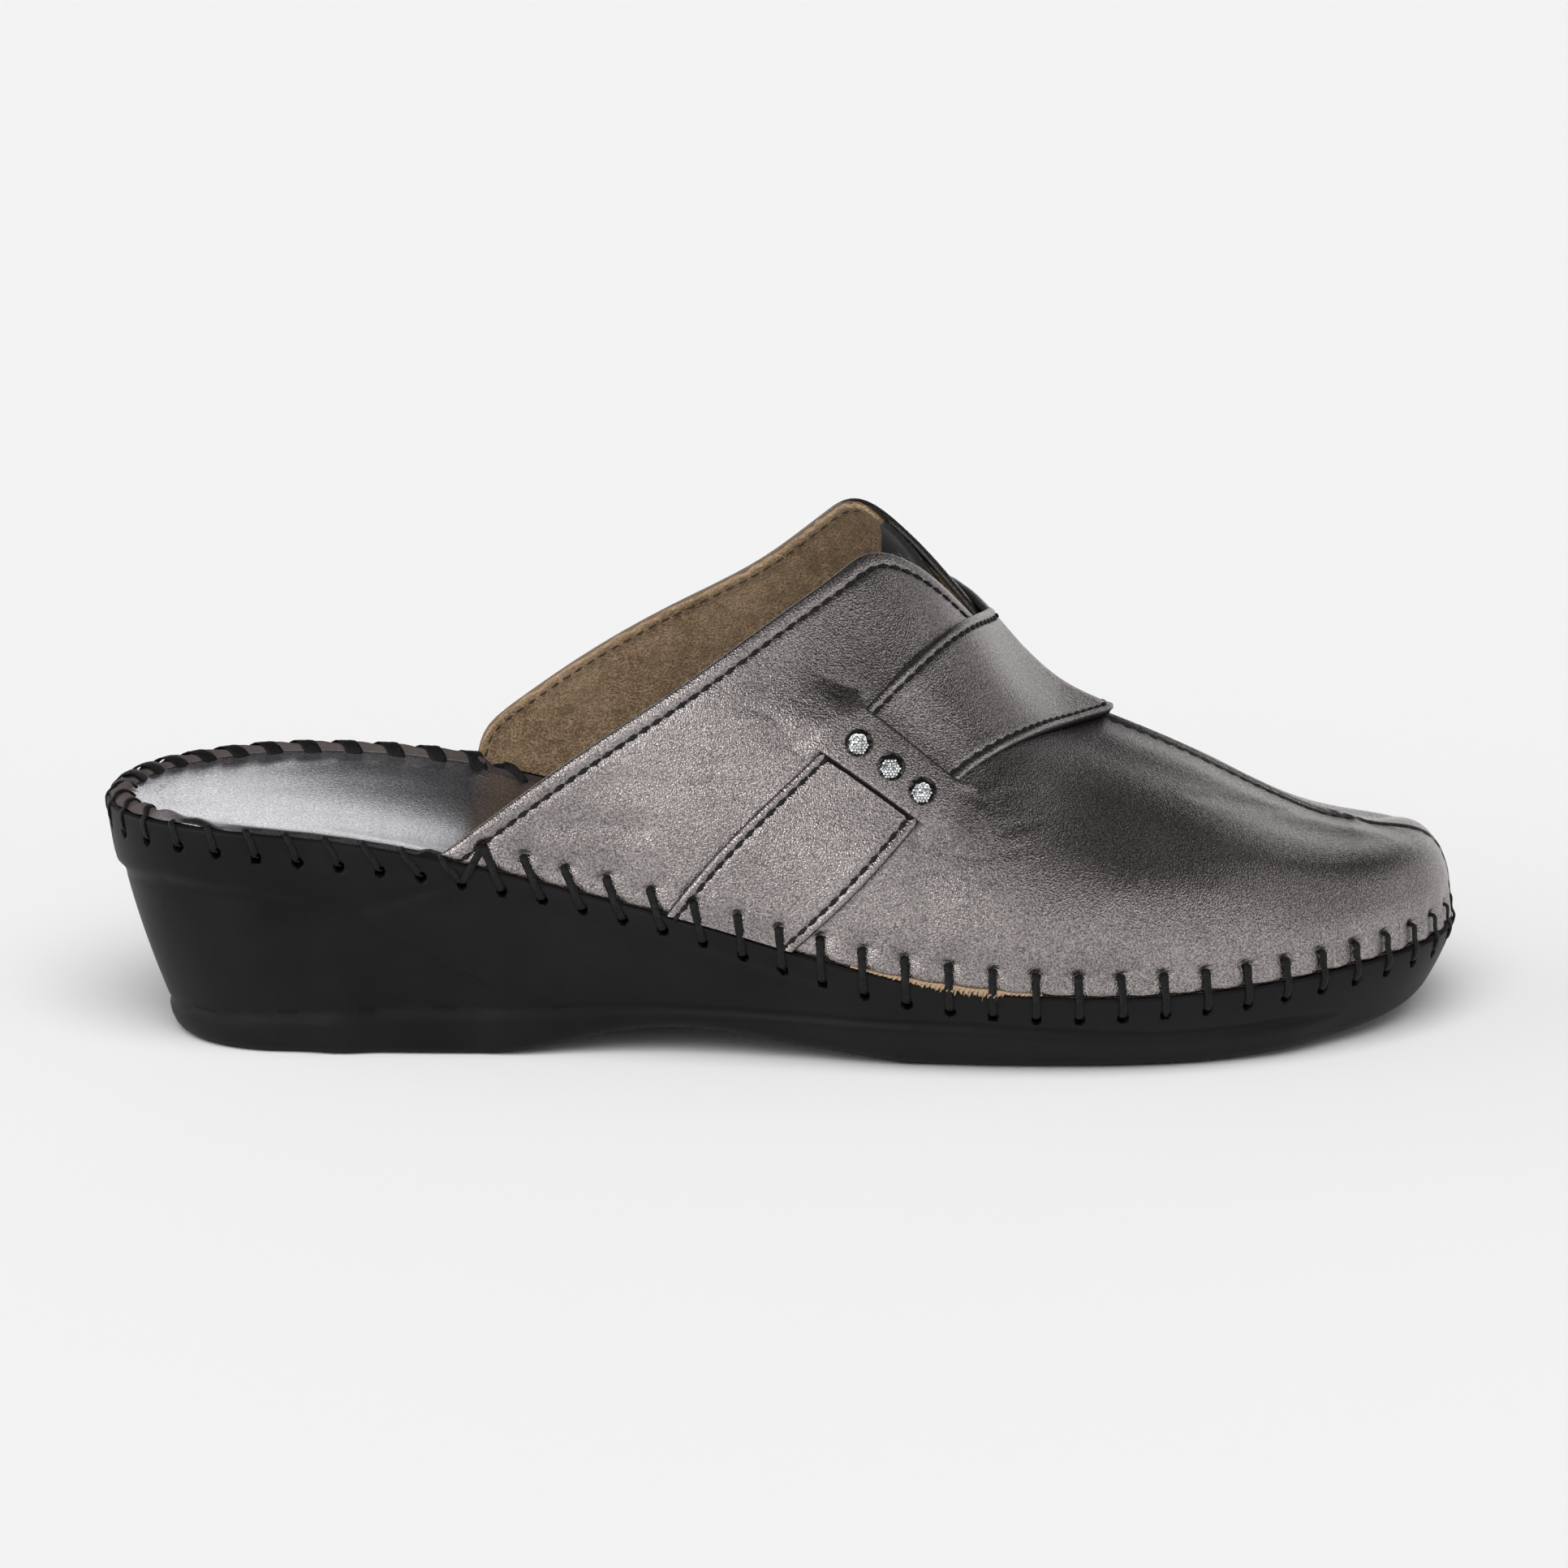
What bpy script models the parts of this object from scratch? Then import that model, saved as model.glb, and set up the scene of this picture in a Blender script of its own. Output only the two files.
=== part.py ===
"""House slipper for the right foot: an open-backed leather mule, whip-seamed on a moulded wedge sole.

The tables are in millimetres and the scene is in metres. +X points to the toe, +Z up, and the outer
(lateral) side of the foot is -Y. Every leather piece is cut from one surface, the last: ribs that rise
from the seam line around the foot and meet at the ridge over the instep.
"""

import math
from collections import namedtuple

import bmesh
import bpy
import numpy as np
from mathutils import Vector

MM = 0.001
GAP = 0.3
NUDGE = 1e-3
WELD = 1e-6
SHARP_DEG = 35
LATERAL, MEDIAL = -1, 1

# Driving sizes of the last
LENGTH = 251.0
HEEL_ARC = 32.0
TOE_ARC = 66.0
TOE_SQUARENESS = 2.35
FAN_START = 60.0
FAN_END = 108.0

# Leather, elastic and trim
UPPER_WALL = 2.0
STRAP_WALL = 1.6
STRAP_GAP = 0.55
KEEPER_WALL = 1.4
GORE_WALL = 1.2
KEEPER_FOOT = 0.26
KEEPER_MARGIN = 0.05
GORE_BACK, GORE_FRONT = 19.0, 50.0
GORE_LOW = 0.66
GORE_GAP = 0.6
CRYSTAL_RADIUS = 2.0
CRYSTAL_TABLE = 1.3
CRYSTAL_HEIGHT = 0.9
CRYSTAL_SHARES = (0.19, 0.53, 0.85)
CRYSTAL_ROW = 0.44
HOLE_RADIUS = 2.4

# Sole and footbed
RIM_PROUD = 0.6
RIM_WIDTH = 3.2
TRAY_DEPTH = 4.5
TRAY_EDGE = 3.6
WALL_TAPER = 1.6
TREAD_ROUND = 1.4
HEEL_DISH = 2.4
BALL_DISH = 1.0

# One row for each section across the foot. centre and half_width give the seam line in plan, seam_z its
# height, arch_rise what the inner side adds, ridge_y and ridge_z the top of the last, peak the slope in
# degrees with which either side leaves the ridge, fullness the roundness of the rib, ground_z the
# underside (below zero it is flat on the floor), tuck how far the tread edge lies inside the seam line.
Section = namedtuple(
    "Section", "x centre half_width seam_z arch_rise ridge_y ridge_z peak fullness ground_z tuck"
)
SECTIONS = (
    Section(-126, -3.0, 32.5, 43.6, 0.0, 0.0, 128.0, 0, 2.00, 1.5, 11.6),
    Section(-108, -1.2, 32.6, 44.1, -1.2, 0.0, 128.0, 0, 2.00, -0.6, 7.2),
    Section(-90, -0.3, 32.8, 42.9, 0.2, 0.0, 127.5, 0, 2.00, -0.8, 4.8),
    Section(-70, -0.5, 33.1, 40.2, 2.0, 0.2, 126.5, 0, 2.00, -0.8, 4.4),
    Section(-50, -1.2, 33.4, 36.0, 3.2, 0.5, 125.0, 0, 2.00, 0.5, 5.2),
    Section(-30, -2.0, 33.8, 31.0, 3.2, 0.8, 121.5, 0, 2.00, 4.3, 7.0),
    Section(-15, -2.7, 35.2, 27.6, 2.6, 1.0, 117.0, 0, 2.00, 5.0, 8.0),
    Section(0, -2.8, 37.6, 23.6, 1.6, 1.2, 111.0, 0, 2.02, 3.0, 8.6),
    Section(14, -2.2, 40.6, 20.1, 0.8, 1.5, 102.0, 2, 2.05, 1.2, 9.0),
    Section(25, -1.6, 42.6, 18.2, 0.4, 1.8, 90.4, 8, 2.08, -0.3, 9.2),
    Section(37, -0.6, 44.6, 16.8, 0.1, 2.4, 75.9, 15, 2.10, -1.0, 9.2),
    Section(49, 0.4, 45.8, 15.8, 0.0, 3.2, 63.2, 17, 2.14, -1.2, 9.0),
    Section(61, 1.5, 46.2, 15.4, 0.0, 4.2, 56.6, 17, 2.20, -0.9, 8.6),
    Section(80, 3.8, 45.6, 15.7, 0.0, 6.2, 47.7, 17, 2.30, 0.2, 7.4),
    Section(92, 5.4, 44.8, 16.2, 0.0, 7.4, 40.9, 17, 2.40, 0.9, 6.4),
    Section(104, 7.2, 43.6, 16.8, 0.0, 8.6, 36.0, 16, 2.55, 1.9, 5.6),
    Section(116, 8.8, 42.6, 17.3, 0.0, 9.6, 34.4, 14, 2.85, 3.6, 5.0),
    Section(126, 10.0, 42.0, 17.4, 0.0, 10.4, 33.8, 12, 3.10, 6.2, 5.0),
)

# Back edge of the upper: share of the rib's height against the place along the foot on either side
Collar = namedtuple("Collar", "rise lateral medial")
COLLAR = (
    Collar(0.00, -63.3, -58.6),
    Collar(0.05, -56.2, -56.6),
    Collar(0.10, -49.2, -50.6),
    Collar(0.20, -34.8, -36.6),
    Collar(0.30, -20.6, -22.0),
    Collar(0.40, -8.6, -8.4),
    Collar(0.50, 1.4, 0.9),
    Collar(0.60, 9.3, 7.6),
    Collar(0.70, 15.3, 13.2),
    Collar(0.80, 24.2, 21.2),
    Collar(0.90, 33.8, 30.8),
    Collar(1.00, 42.0, 42.0),
)

# Edges of the saddle strap, alike on both sides
StrapRow = namedtuple("StrapRow", "rise back front")
STRAP = (
    StrapRow(0.00, -21.5, 1.8),
    StrapRow(0.10, -12.2, 12.6),
    StrapRow(0.20, -2.0, 21.0),
    StrapRow(0.30, 7.6, 27.4),
    StrapRow(0.40, 15.4, 33.0),
    StrapRow(0.50, 21.1, 38.2),
    StrapRow(0.60, 25.4, 42.8),
    StrapRow(0.80, 31.8, 50.8),
    StrapRow(0.90, 34.3, 55.4),
    StrapRow(1.00, 36.6, 61.0),
)

# Slits that free the keeper from the upper: their rise at the strap's back edge and at its front edge
Slit = namedtuple("Slit", "back front")
LOW_SLIT = Slit(0.288, 0.253)
HIGH_SLIT = Slit(0.391, 0.373)

# Edge of the footbed: a rolled bead over the rim at the heel, a plain rounded edge inside the upper.
# Insets are inwards from the seam line, heights above it.
EdgeRow = namedtuple("EdgeRow", "bead_inset bead_z plain_inset plain_z")
FOOTBED_EDGE = (
    EdgeRow(3.9, -4.2, 3.9, -4.2),
    EdgeRow(3.9, 0.0, 3.9, -3.4),
    EdgeRow(0.9, 0.0, 4.0, -2.8),
    EdgeRow(0.5, 0.7, 4.3, -2.3),
    EdgeRow(1.3, 1.3, 4.8, -2.0),
    EdgeRow(2.7, 1.5, 5.4, -1.9),
    EdgeRow(4.1, 0.7, 6.2, -1.8),
    EdgeRow(5.2, -1.2, 7.0, -1.8),
    EdgeRow(8.5, -1.8, 9.0, -1.9),
)
BEAD_END = {LATERAL: -62.6, MEDIAL: -59.2}
BEAD_FADE = 1.2

# Wall of the sole from tread to rim: share of the wall's height
SOLE_LEVELS = (0.0, 0.06, 0.2, 0.42, 0.64, 0.82, 1.0)

# Mesh density
RING_POINTS = 72
FILL_COLUMNS = 6
UPPER_ROWS = 19
UPPER_COLUMNS = 30
STRAP_ROWS = 22
STRAP_COLUMNS = 5
GORE_ROWS = 6
GORE_COLUMNS = 7
KEEPER_ROWS = 6
KEEPER_COLUMNS = 16
HOLE_SIDES = 20
CRYSTAL_SIDES = 12


def smooth_curve(rows, field):
    """Natural cubic spline through one column of a table, read against the table's first column."""
    at_rows = np.array([row[0] for row in rows], float)
    values = np.array([getattr(row, field) for row in rows], float)
    step = np.diff(at_rows)
    slope = np.diff(values) / step
    matrix = np.eye(len(rows))
    right = np.zeros(len(rows))
    for i in range(1, len(rows) - 1):
        matrix[i, i - 1 : i + 2] = step[i - 1], 2 * (step[i - 1] + step[i]), step[i]
        right[i] = 6 * (slope[i] - slope[i - 1])
    bend = np.linalg.solve(matrix, right)

    def curve(at):
        at = np.clip(np.asarray(at, float), at_rows[0], at_rows[-1])
        i = np.clip(np.searchsorted(at_rows, at) - 1, 0, len(step) - 1)
        after, before, span = at - at_rows[i], at_rows[i + 1] - at, step[i]
        cubic = (bend[i] * before**3 + bend[i + 1] * after**3) / (6 * span)
        low = (values[i] / span - bend[i] * span / 6) * before
        high = (values[i + 1] / span - bend[i + 1] * span / 6) * after
        return cubic + low + high

    return curve


CURVE = {field: smooth_curve(SECTIONS, field) for field in Section._fields[1:]}
COLLAR_X = {side: smooth_curve(COLLAR, name) for side, name in ((LATERAL, "lateral"), (MEDIAL, "medial"))}
STRAP_BACK = smooth_curve(STRAP, "back")
STRAP_FRONT = smooth_curve(STRAP, "front")


def turn_at(x):
    """Turn of the seam line at a place along the foot: 0 at the toe tip, 1 at the back of the heel."""
    return np.arccos(np.clip(np.asarray(x, float) / (LENGTH / 2), -1, 1)) / math.pi


def seam_height(x, side):
    """Height of the seam line, higher along the arch on the inner side."""
    return CURVE["seam_z"](x) + CURVE["arch_rise"](x) * (side > 0)


def seam_line(turn):
    """Seam line around the foot. Turns are negative on the outer side and positive on the inner side."""
    turn = (np.asarray(turn, float) + 1) % 2 - 1
    x = np.cos(math.pi * turn) * LENGTH / 2
    side = np.where(turn < 0, LATERAL, MEDIAL)
    toe = np.clip((x - LENGTH / 2 + TOE_ARC) / TOE_ARC, 0, 1)
    heel = np.clip((HEEL_ARC - LENGTH / 2 - x) / HEEL_ARC, 0, 1)
    toe_round = np.maximum(1 - toe**TOE_SQUARENESS, 0) ** (1 / TOE_SQUARENESS)
    half = CURVE["half_width"](x) * toe_round * np.sqrt(1 - heel**2)
    return np.stack([x, CURVE["centre"](x) + side * half, seam_height(x, side)], axis=-1)


def inset_line(turn, inset):
    """Seam line moved inwards in plan, square to itself. The height is that of the seam."""
    along = seam_line(turn + NUDGE) - seam_line(turn - NUDGE)
    outwards = np.stack([along[..., 1], -along[..., 0]], axis=-1)
    outwards /= np.linalg.norm(outwards, axis=-1, keepdims=True)
    moved = seam_line(turn)
    moved[..., :2] -= outwards * np.asarray(inset, float)[..., None]
    return moved


def last_point(turn, rise):
    """Point of the last, on the rib of that turn: rise 0 is the seam line and rise 1 the ridge."""
    foot = seam_line(turn)
    span = (foot[..., 0] - FAN_START) / (LENGTH / 2 - FAN_START)
    pull = (LENGTH / 2 - FAN_START) / (FAN_END - FAN_START)
    fanned = FAN_START + (FAN_END - FAN_START) * (1 - (1 - np.clip(span, 0, 1)) ** pull)
    top_x = np.where(span > 0, fanned, foot[..., 0])
    power = 2 / CURVE["fullness"](foot[..., 0])
    angle = np.clip(np.asarray(rise, float), 0, 1) * math.pi / 2
    out = np.cos(angle) ** power
    up = np.sin(angle) ** power
    x = top_x + (foot[..., 0] - top_x) * out
    top_y = CURVE["ridge_y"](top_x)
    y = top_y + (foot[..., 1] - top_y) * out
    z = foot[..., 2] + (CURVE["ridge_z"](x) - foot[..., 2]) * up
    reach = np.hypot(foot[..., 0] - top_x, foot[..., 1] - top_y)
    z -= np.tan(np.radians(CURVE["peak"](x))) * reach * out * (1 - out) ** 2
    return np.stack([x, y, z], axis=-1)


def last_normal(turn, rise):
    """Outward direction of the last's surface."""
    along = last_point(turn - NUDGE, rise) - last_point(turn + NUDGE, rise)
    up = last_point(turn, np.minimum(rise + NUDGE, 1)) - last_point(turn, np.maximum(rise - NUDGE, 0))
    normal = np.cross(up, along)
    return normal / np.linalg.norm(normal, axis=-1, keepdims=True)


def last_offset(turn, rise, distance):
    """Point of the last moved outwards, square to its surface. On the ridge both sides share a direction."""
    turn, rise = np.broadcast_arrays(np.asarray(turn, float), np.asarray(rise, float))
    on_ridge = (rise >= 1)[..., None]
    normal = last_normal(turn, rise) + np.where(on_ridge, last_normal(-turn, rise), 0)
    normal /= np.linalg.norm(normal, axis=-1, keepdims=True)
    return last_point(turn, rise) + normal * np.asarray(distance, float)[..., None]


def over_the_foot(rises):
    """Sides and rises of rows that climb the outer side to the ridge and come down the inner side."""
    climb = [(LATERAL, rise) for rise in rises]
    return climb + [(MEDIAL, rise) for rise in rises[-2::-1]]


def link_body(name, vertices, faces, material):
    """Mesh object from points in millimetres, with doubles merged and faces turned outwards."""
    mesh = bpy.data.meshes.new(name)
    mesh.from_pydata([Vector(point) * MM for point in vertices], [], faces)
    body = bmesh.new()
    body.from_mesh(mesh)
    bmesh.ops.remove_doubles(body, verts=body.verts, dist=WELD)
    bmesh.ops.recalc_face_normals(body, faces=body.faces)
    body.to_mesh(mesh)
    body.free()
    mesh.shade_smooth()
    mesh.set_sharp_from_angle(angle=math.radians(SHARP_DEG))
    mesh.materials.append(material)
    obj = bpy.data.objects.new(name, mesh)
    bpy.context.scene.collection.objects.link(obj)
    return obj


def plain_material(name, colour, roughness, metallic=0.0):
    """Principled material with one colour."""
    material = bpy.data.materials.new(name)
    material.use_nodes = True
    shader = material.node_tree.nodes["Principled BSDF"]
    shader.inputs["Base Color"].default_value = (*colour, 1.0)
    shader.inputs["Roughness"].default_value = roughness
    shader.inputs["Metallic"].default_value = metallic
    return material


def sheet_body(name, outer, inner, material, open_front=True):
    """Closed sheet between two grids of points. A front that isn't open folds onto itself and is welded."""
    rows, columns = outer.shape[:2]
    vertices = np.concatenate([outer.reshape(-1, 3), inner.reshape(-1, 3)])
    index = np.arange(rows * columns).reshape(rows, columns)
    under = index + rows * columns
    faces = []
    for i in range(rows - 1):
        for j in range(columns - 1):
            faces.append((index[i, j], index[i, j + 1], index[i + 1, j + 1], index[i + 1, j]))
            faces.append((under[i, j], under[i + 1, j], under[i + 1, j + 1], under[i, j + 1]))
    edges = [[(i, 0) for i in range(rows)]]
    edges += [[(i, j) for j in range(columns)] for i in (0, rows - 1)]
    if open_front:
        edges.append([(i, columns - 1) for i in range(rows)])
    for edge in edges:
        for first, second in zip(edge, edge[1:]):
            faces.append((index[first], index[second], under[second], under[first]))
    return link_body(name, vertices, [tuple(int(v) for v in face) for face in faces], material)


def ring_turns(stations=()):
    """Turns of the points around a closed ring, from the back of the heel along the outer side.

    Every station along the foot gets a point of its own on both sides.
    """
    half = np.union1d(np.linspace(0, 1, RING_POINTS // 2 + 1), turn_at(stations))
    return np.concatenate([-half[::-1], half[1:-1]])


def ringed_body(name, rings, bottom_height, top_height, material):
    """Closed body of stacked rings, with a ladder of faces across its bottom and its top."""
    vertices = [tuple(point) for ring in rings for point in ring]
    count = len(rings[0])
    faces = []
    for level in range(len(rings) - 1):
        for k in range(count):
            a, b = level * count + k, level * count + (k + 1) % count
            faces.append((a, b, b + count, a + count))
    top = (len(rings) - 1) * count
    for first, ring, height in ((0, rings[0], bottom_height), (top, rings[-1], top_height)):
        rungs = []
        for k in range(1, count // 2):
            outer, inner = ring[k], ring[count - k]
            rung = [first + k]
            for column in range(1, FILL_COLUMNS):
                share = column / FILL_COLUMNS
                point = outer + (inner - outer) * share
                rung.append(len(vertices))
                vertices.append((point[0], point[1], height(point, share)))
            rungs.append([*rung, first + count - k])
        for near, far in zip(rungs, rungs[1:]):
            for c in range(FILL_COLUMNS):
                faces.append((near[c], near[c + 1], far[c + 1], far[c]))
        for tip, rung in ((first, rungs[0]), (first + count // 2, rungs[-1])):
            for c in range(FILL_COLUMNS):
                faces.append((tip, rung[c], rung[c + 1]))
    return link_body(name, vertices, faces, material)


def ground_height(x):
    """Underside of the sole: flat on the floor under heel and ball, raised at the arch and the toe."""
    return np.maximum(CURVE["ground_z"](x), 0)


def dish_depth(x, share):
    """How far the footbed sinks between its edges, deepest in the heel seat."""
    depth = np.interp(x, (-LENGTH / 3, 0, LENGTH / 3), (HEEL_DISH, BALL_DISH, BALL_DISH))
    return depth * math.sin(math.pi * share) ** 2


def build_sole(material):
    """Wedge sole: tapered wall from the tread to the rim, and a tray for the footbed in its top."""
    turns = ring_turns()
    seam = seam_line(turns)
    rings = []
    for level in SOLE_LEVELS:
        tuck = CURVE["tuck"](seam[:, 0]) * (1 - level) ** WALL_TAPER
        tuck += TREAD_ROUND * (level == 0) - RIM_PROUD * level
        ring = inset_line(turns, tuck)
        ground = ground_height(ring[:, 0])
        ring[:, 2] = ground + (seam[:, 2] - GAP - ground) * level
        rings.append(ring)
    for inset, depth in ((RIM_WIDTH, GAP), (TRAY_EDGE, TRAY_DEPTH)):
        ring = inset_line(turns, np.full(len(turns), inset))
        ring[:, 2] = seam[:, 2] - depth
        rings.append(ring)

    def under(point, _share):
        return float(ground_height(point[0]))

    def tray(point, share):
        return point[2] - dish_depth(point[0], share)

    return ringed_body("sole", rings, under, tray, material)


def bead_share(turns):
    """2 where the footbed's edge is rolled over the rim, 1 where it is drawn in, 0 where it is sunk."""
    x = seam_line(turns)[:, 0]
    end = np.where(turns < 0, BEAD_END[LATERAL], BEAD_END[MEDIAL])
    return np.clip((end - x) / BEAD_FADE, 0, 2)


def build_insole(material):
    """Leather-covered footbed in the tray, rolled over the rim around the heel."""
    fade = [end - BEAD_FADE * steps for end in BEAD_END.values() for steps in (0, 1, 2)]
    turns = ring_turns(fade)
    bead = bead_share(turns)
    rolled, raised = np.clip(bead - 1, 0, 1), np.clip(bead, 0, 1)
    rings = []
    for row in FOOTBED_EDGE:
        ring = inset_line(turns, row.plain_inset + (row.bead_inset - row.plain_inset) * rolled)
        ring[:, 2] += row.plain_z + (row.bead_z - row.plain_z) * raised
        rings.append(ring)

    def sunk(point, share):
        return point[2] - dish_depth(point[0], share)

    return ringed_body("insole", rings, sunk, sunk, material)


def build_upper(material):
    """Hollow upper: both sides of the last from the collar to the toe, open behind and underneath."""
    rises = np.linspace(0, 1, UPPER_ROWS + 1)
    shares = np.linspace(0, 1, UPPER_COLUMNS)
    turns, heights = [], []
    for side, rise in over_the_foot(rises):
        turns.append(side * turn_at(COLLAR_X[side](rise)) * (1 - shares))
        heights.append(np.full(UPPER_COLUMNS, rise))
    turns, heights = np.array(turns), np.array(heights)
    # the last column is the toe rib, which both sides share
    outer = last_offset(turns, heights, np.zeros_like(turns))
    inner = last_offset(turns, heights, np.full_like(turns, -UPPER_WALL))
    for grid in (outer, inner):
        grid[UPPER_ROWS + 1 :, -1] = grid[UPPER_ROWS - 1 :: -1, -1]
    return sheet_body("upper", outer, inner, material, open_front=False)


def build_strap(material):
    """Saddle strap laid on the upper, from seam to seam over the instep."""
    shares = np.linspace(0, 1, STRAP_COLUMNS + 1)
    turns, heights = [], []
    for side, rise in over_the_foot(np.linspace(0, 1, STRAP_ROWS + 1)):
        back, front = STRAP_BACK(rise), STRAP_FRONT(rise)
        turns.append(side * turn_at(back + (front - back) * shares))
        heights.append(np.full(len(shares), rise))
    turns, heights = np.array(turns), np.array(heights)
    outer = last_offset(turns, heights, np.full_like(turns, STRAP_GAP + STRAP_WALL))
    inner = last_offset(turns, heights, np.full_like(turns, STRAP_GAP))
    return sheet_body("strap", outer, inner, material)


def build_gore(material):
    """Elastic gore under the throat, on the inside of the upper."""
    places = np.linspace(GORE_BACK, GORE_FRONT, GORE_COLUMNS + 1)
    turns, heights = [], []
    for side, rise in over_the_foot(np.linspace(GORE_LOW, 1, GORE_ROWS + 1)):
        turns.append(side * turn_at(places))
        heights.append(np.full(len(places), rise))
    turns, heights = np.array(turns), np.array(heights)
    depth = UPPER_WALL + GORE_GAP
    outer = last_offset(turns, heights, np.full_like(turns, -depth))
    inner = last_offset(turns, heights, np.full_like(turns, -depth - GORE_WALL))
    return sheet_body("gore", outer, inner, material)


def keeper_place(across, along):
    """Place along the foot and rise on the keeper: across from slit to slit, along the strap's width."""
    low = LOW_SLIT.back + (LOW_SLIT.front - LOW_SLIT.back) * along
    high = HIGH_SLIT.back + (HIGH_SLIT.front - HIGH_SLIT.back) * along
    rise = low + (high - low) * across
    back, front = STRAP_BACK(rise), STRAP_FRONT(rise)
    return back + (front - back) * along, rise


def keeper_lift(along):
    """1 where the keeper passes over the strap, falling to 0 at its feet on the upper."""
    past = np.maximum(-along, along - 1)
    share = np.clip((KEEPER_FOOT - past) / (KEEPER_FOOT - KEEPER_MARGIN), 0, 1)
    return share * share * (3 - 2 * share)


def build_keeper(material, cutters):
    """Bridge of leather over the outer side of the strap, with a round hole for each crystal."""
    shares = np.linspace(-KEEPER_FOOT, 1 + KEEPER_FOOT, KEEPER_COLUMNS)
    across, along = np.meshgrid(np.linspace(0, 1, KEEPER_ROWS), shares, indexing="ij")
    places, rises = keeper_place(across, along)
    turns = LATERAL * turn_at(places)
    under = STRAP_GAP + (STRAP_WALL + GAP) * keeper_lift(along)
    outer = last_offset(turns, rises, under + KEEPER_WALL)
    inner = last_offset(turns, rises, under)
    keeper = sheet_body("keeper", outer, inner, material)
    for cutter in cutters:
        hole = keeper.modifiers.new(cutter.name, "BOOLEAN")
        hole.object = cutter
        hole.operation = "DIFFERENCE"
    return keeper


def crystal_seat(share):
    """Point on the strap under a crystal, and the direction that it faces."""
    place, rise = keeper_place(CRYSTAL_ROW, share)
    turn = LATERAL * turn_at(place)
    low = last_offset(turn, rise, STRAP_GAP + STRAP_WALL + GAP)
    high = last_offset(turn, rise, STRAP_GAP + STRAP_WALL + GAP + CRYSTAL_HEIGHT)
    return Vector(low), Vector(high - low).normalized()


def turned_body(name, share, radii, ends, sides, material):
    """Cone or cylinder on a crystal's seat, between two heights along the direction that it faces."""
    seat, facing = crystal_seat(share)
    height = ends[1] - ends[0]
    body = bmesh.new()
    bmesh.ops.create_cone(
        body, cap_ends=True, segments=sides, radius1=radii[0] * MM, radius2=radii[1] * MM, depth=height * MM
    )
    mesh = bpy.data.meshes.new(name)
    body.to_mesh(mesh)
    body.free()
    mesh.materials.append(material)
    obj = bpy.data.objects.new(name, mesh)
    obj.location = (seat + facing * (ends[0] + height / 2)) * MM
    obj.rotation_mode = "QUATERNION"
    obj.rotation_quaternion = facing.to_track_quat("Z", "Y")
    bpy.context.scene.collection.objects.link(obj)
    return obj


def build_hole_cutter(number, share, material):
    """Hidden cylinder that punches one of the keeper's holes."""
    reach = 2 * KEEPER_WALL
    radii = (HOLE_RADIUS, HOLE_RADIUS)
    cutter = turned_body(f"hole_cutter_{number}", share, radii, (-reach, reach), HOLE_SIDES, material)
    cutter.hide_render = True
    cutter.display_type = "WIRE"
    return cutter


def build_crystal(number, share, material):
    """Faceted crystal in a hole of the keeper, just clear of the strap."""
    radii = (CRYSTAL_RADIUS, CRYSTAL_TABLE)
    return turned_body(f"crystal_{number}", share, radii, (0, CRYSTAL_HEIGHT), CRYSTAL_SIDES, material)


def stand_on_floor(pieces, helpers):
    """Parents everything to one empty and moves that, so that the origin is under the middle of the box."""
    bpy.context.view_layer.update()
    graph = bpy.context.evaluated_depsgraph_get()
    corners = []
    for piece in pieces:
        evaluated = piece.evaluated_get(graph)
        corners += [piece.matrix_world @ Vector(vertex.co) for vertex in evaluated.data.vertices]
    corners = np.array(corners)
    low, high = corners.min(axis=0), corners.max(axis=0)
    root = bpy.data.objects.new("slipper_root", None)
    bpy.context.scene.collection.objects.link(root)
    root.location = (-(low[0] + high[0]) / 2, -(low[1] + high[1]) / 2, -low[2])
    for obj in (*pieces, *helpers):
        obj.parent = root


def main():
    for obj in list(bpy.data.objects):
        bpy.data.objects.remove(obj)
    moulded = plain_material("black_moulded_sole", (0.018, 0.017, 0.018), 0.55)
    pewter = plain_material("pewter_leather", (0.26, 0.24, 0.235), 0.42, 0.75)
    footbed = plain_material("pewter_footbed_leather", (0.30, 0.29, 0.30), 0.40, 0.7)
    elastic = plain_material("black_elastic", (0.03, 0.03, 0.03), 0.8)
    glass = plain_material("clear_crystal", (0.9, 0.9, 0.9), 0.05)

    pieces = [build_sole(moulded), build_insole(footbed), build_upper(pewter)]
    pieces += [build_gore(elastic), build_strap(pewter)]
    cutters = [build_hole_cutter(n, share, pewter) for n, share in enumerate(CRYSTAL_SHARES, 1)]
    pieces.append(build_keeper(pewter, cutters))
    pieces += [build_crystal(n, share, glass) for n, share in enumerate(CRYSTAL_SHARES, 1)]
    stand_on_floor(pieces, cutters)


main()
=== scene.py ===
"""House slipper for the right foot: the looks of an open-backed pewter mule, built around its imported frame.

Sizes are millimetres on the last, whose tables are the part's own; to_row turns them into the metres of the
shared frame. +X points to the toe, +Z up, and the outer (lateral) side of the foot is -Y. Every leather piece
follows the last: ribs that rise from the seam line around the foot and meet at the ridge over the instep.
"""

import logging
import math
from dataclasses import dataclass, field
from enum import Enum
from typing import Callable, NamedTuple, Sequence

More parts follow.
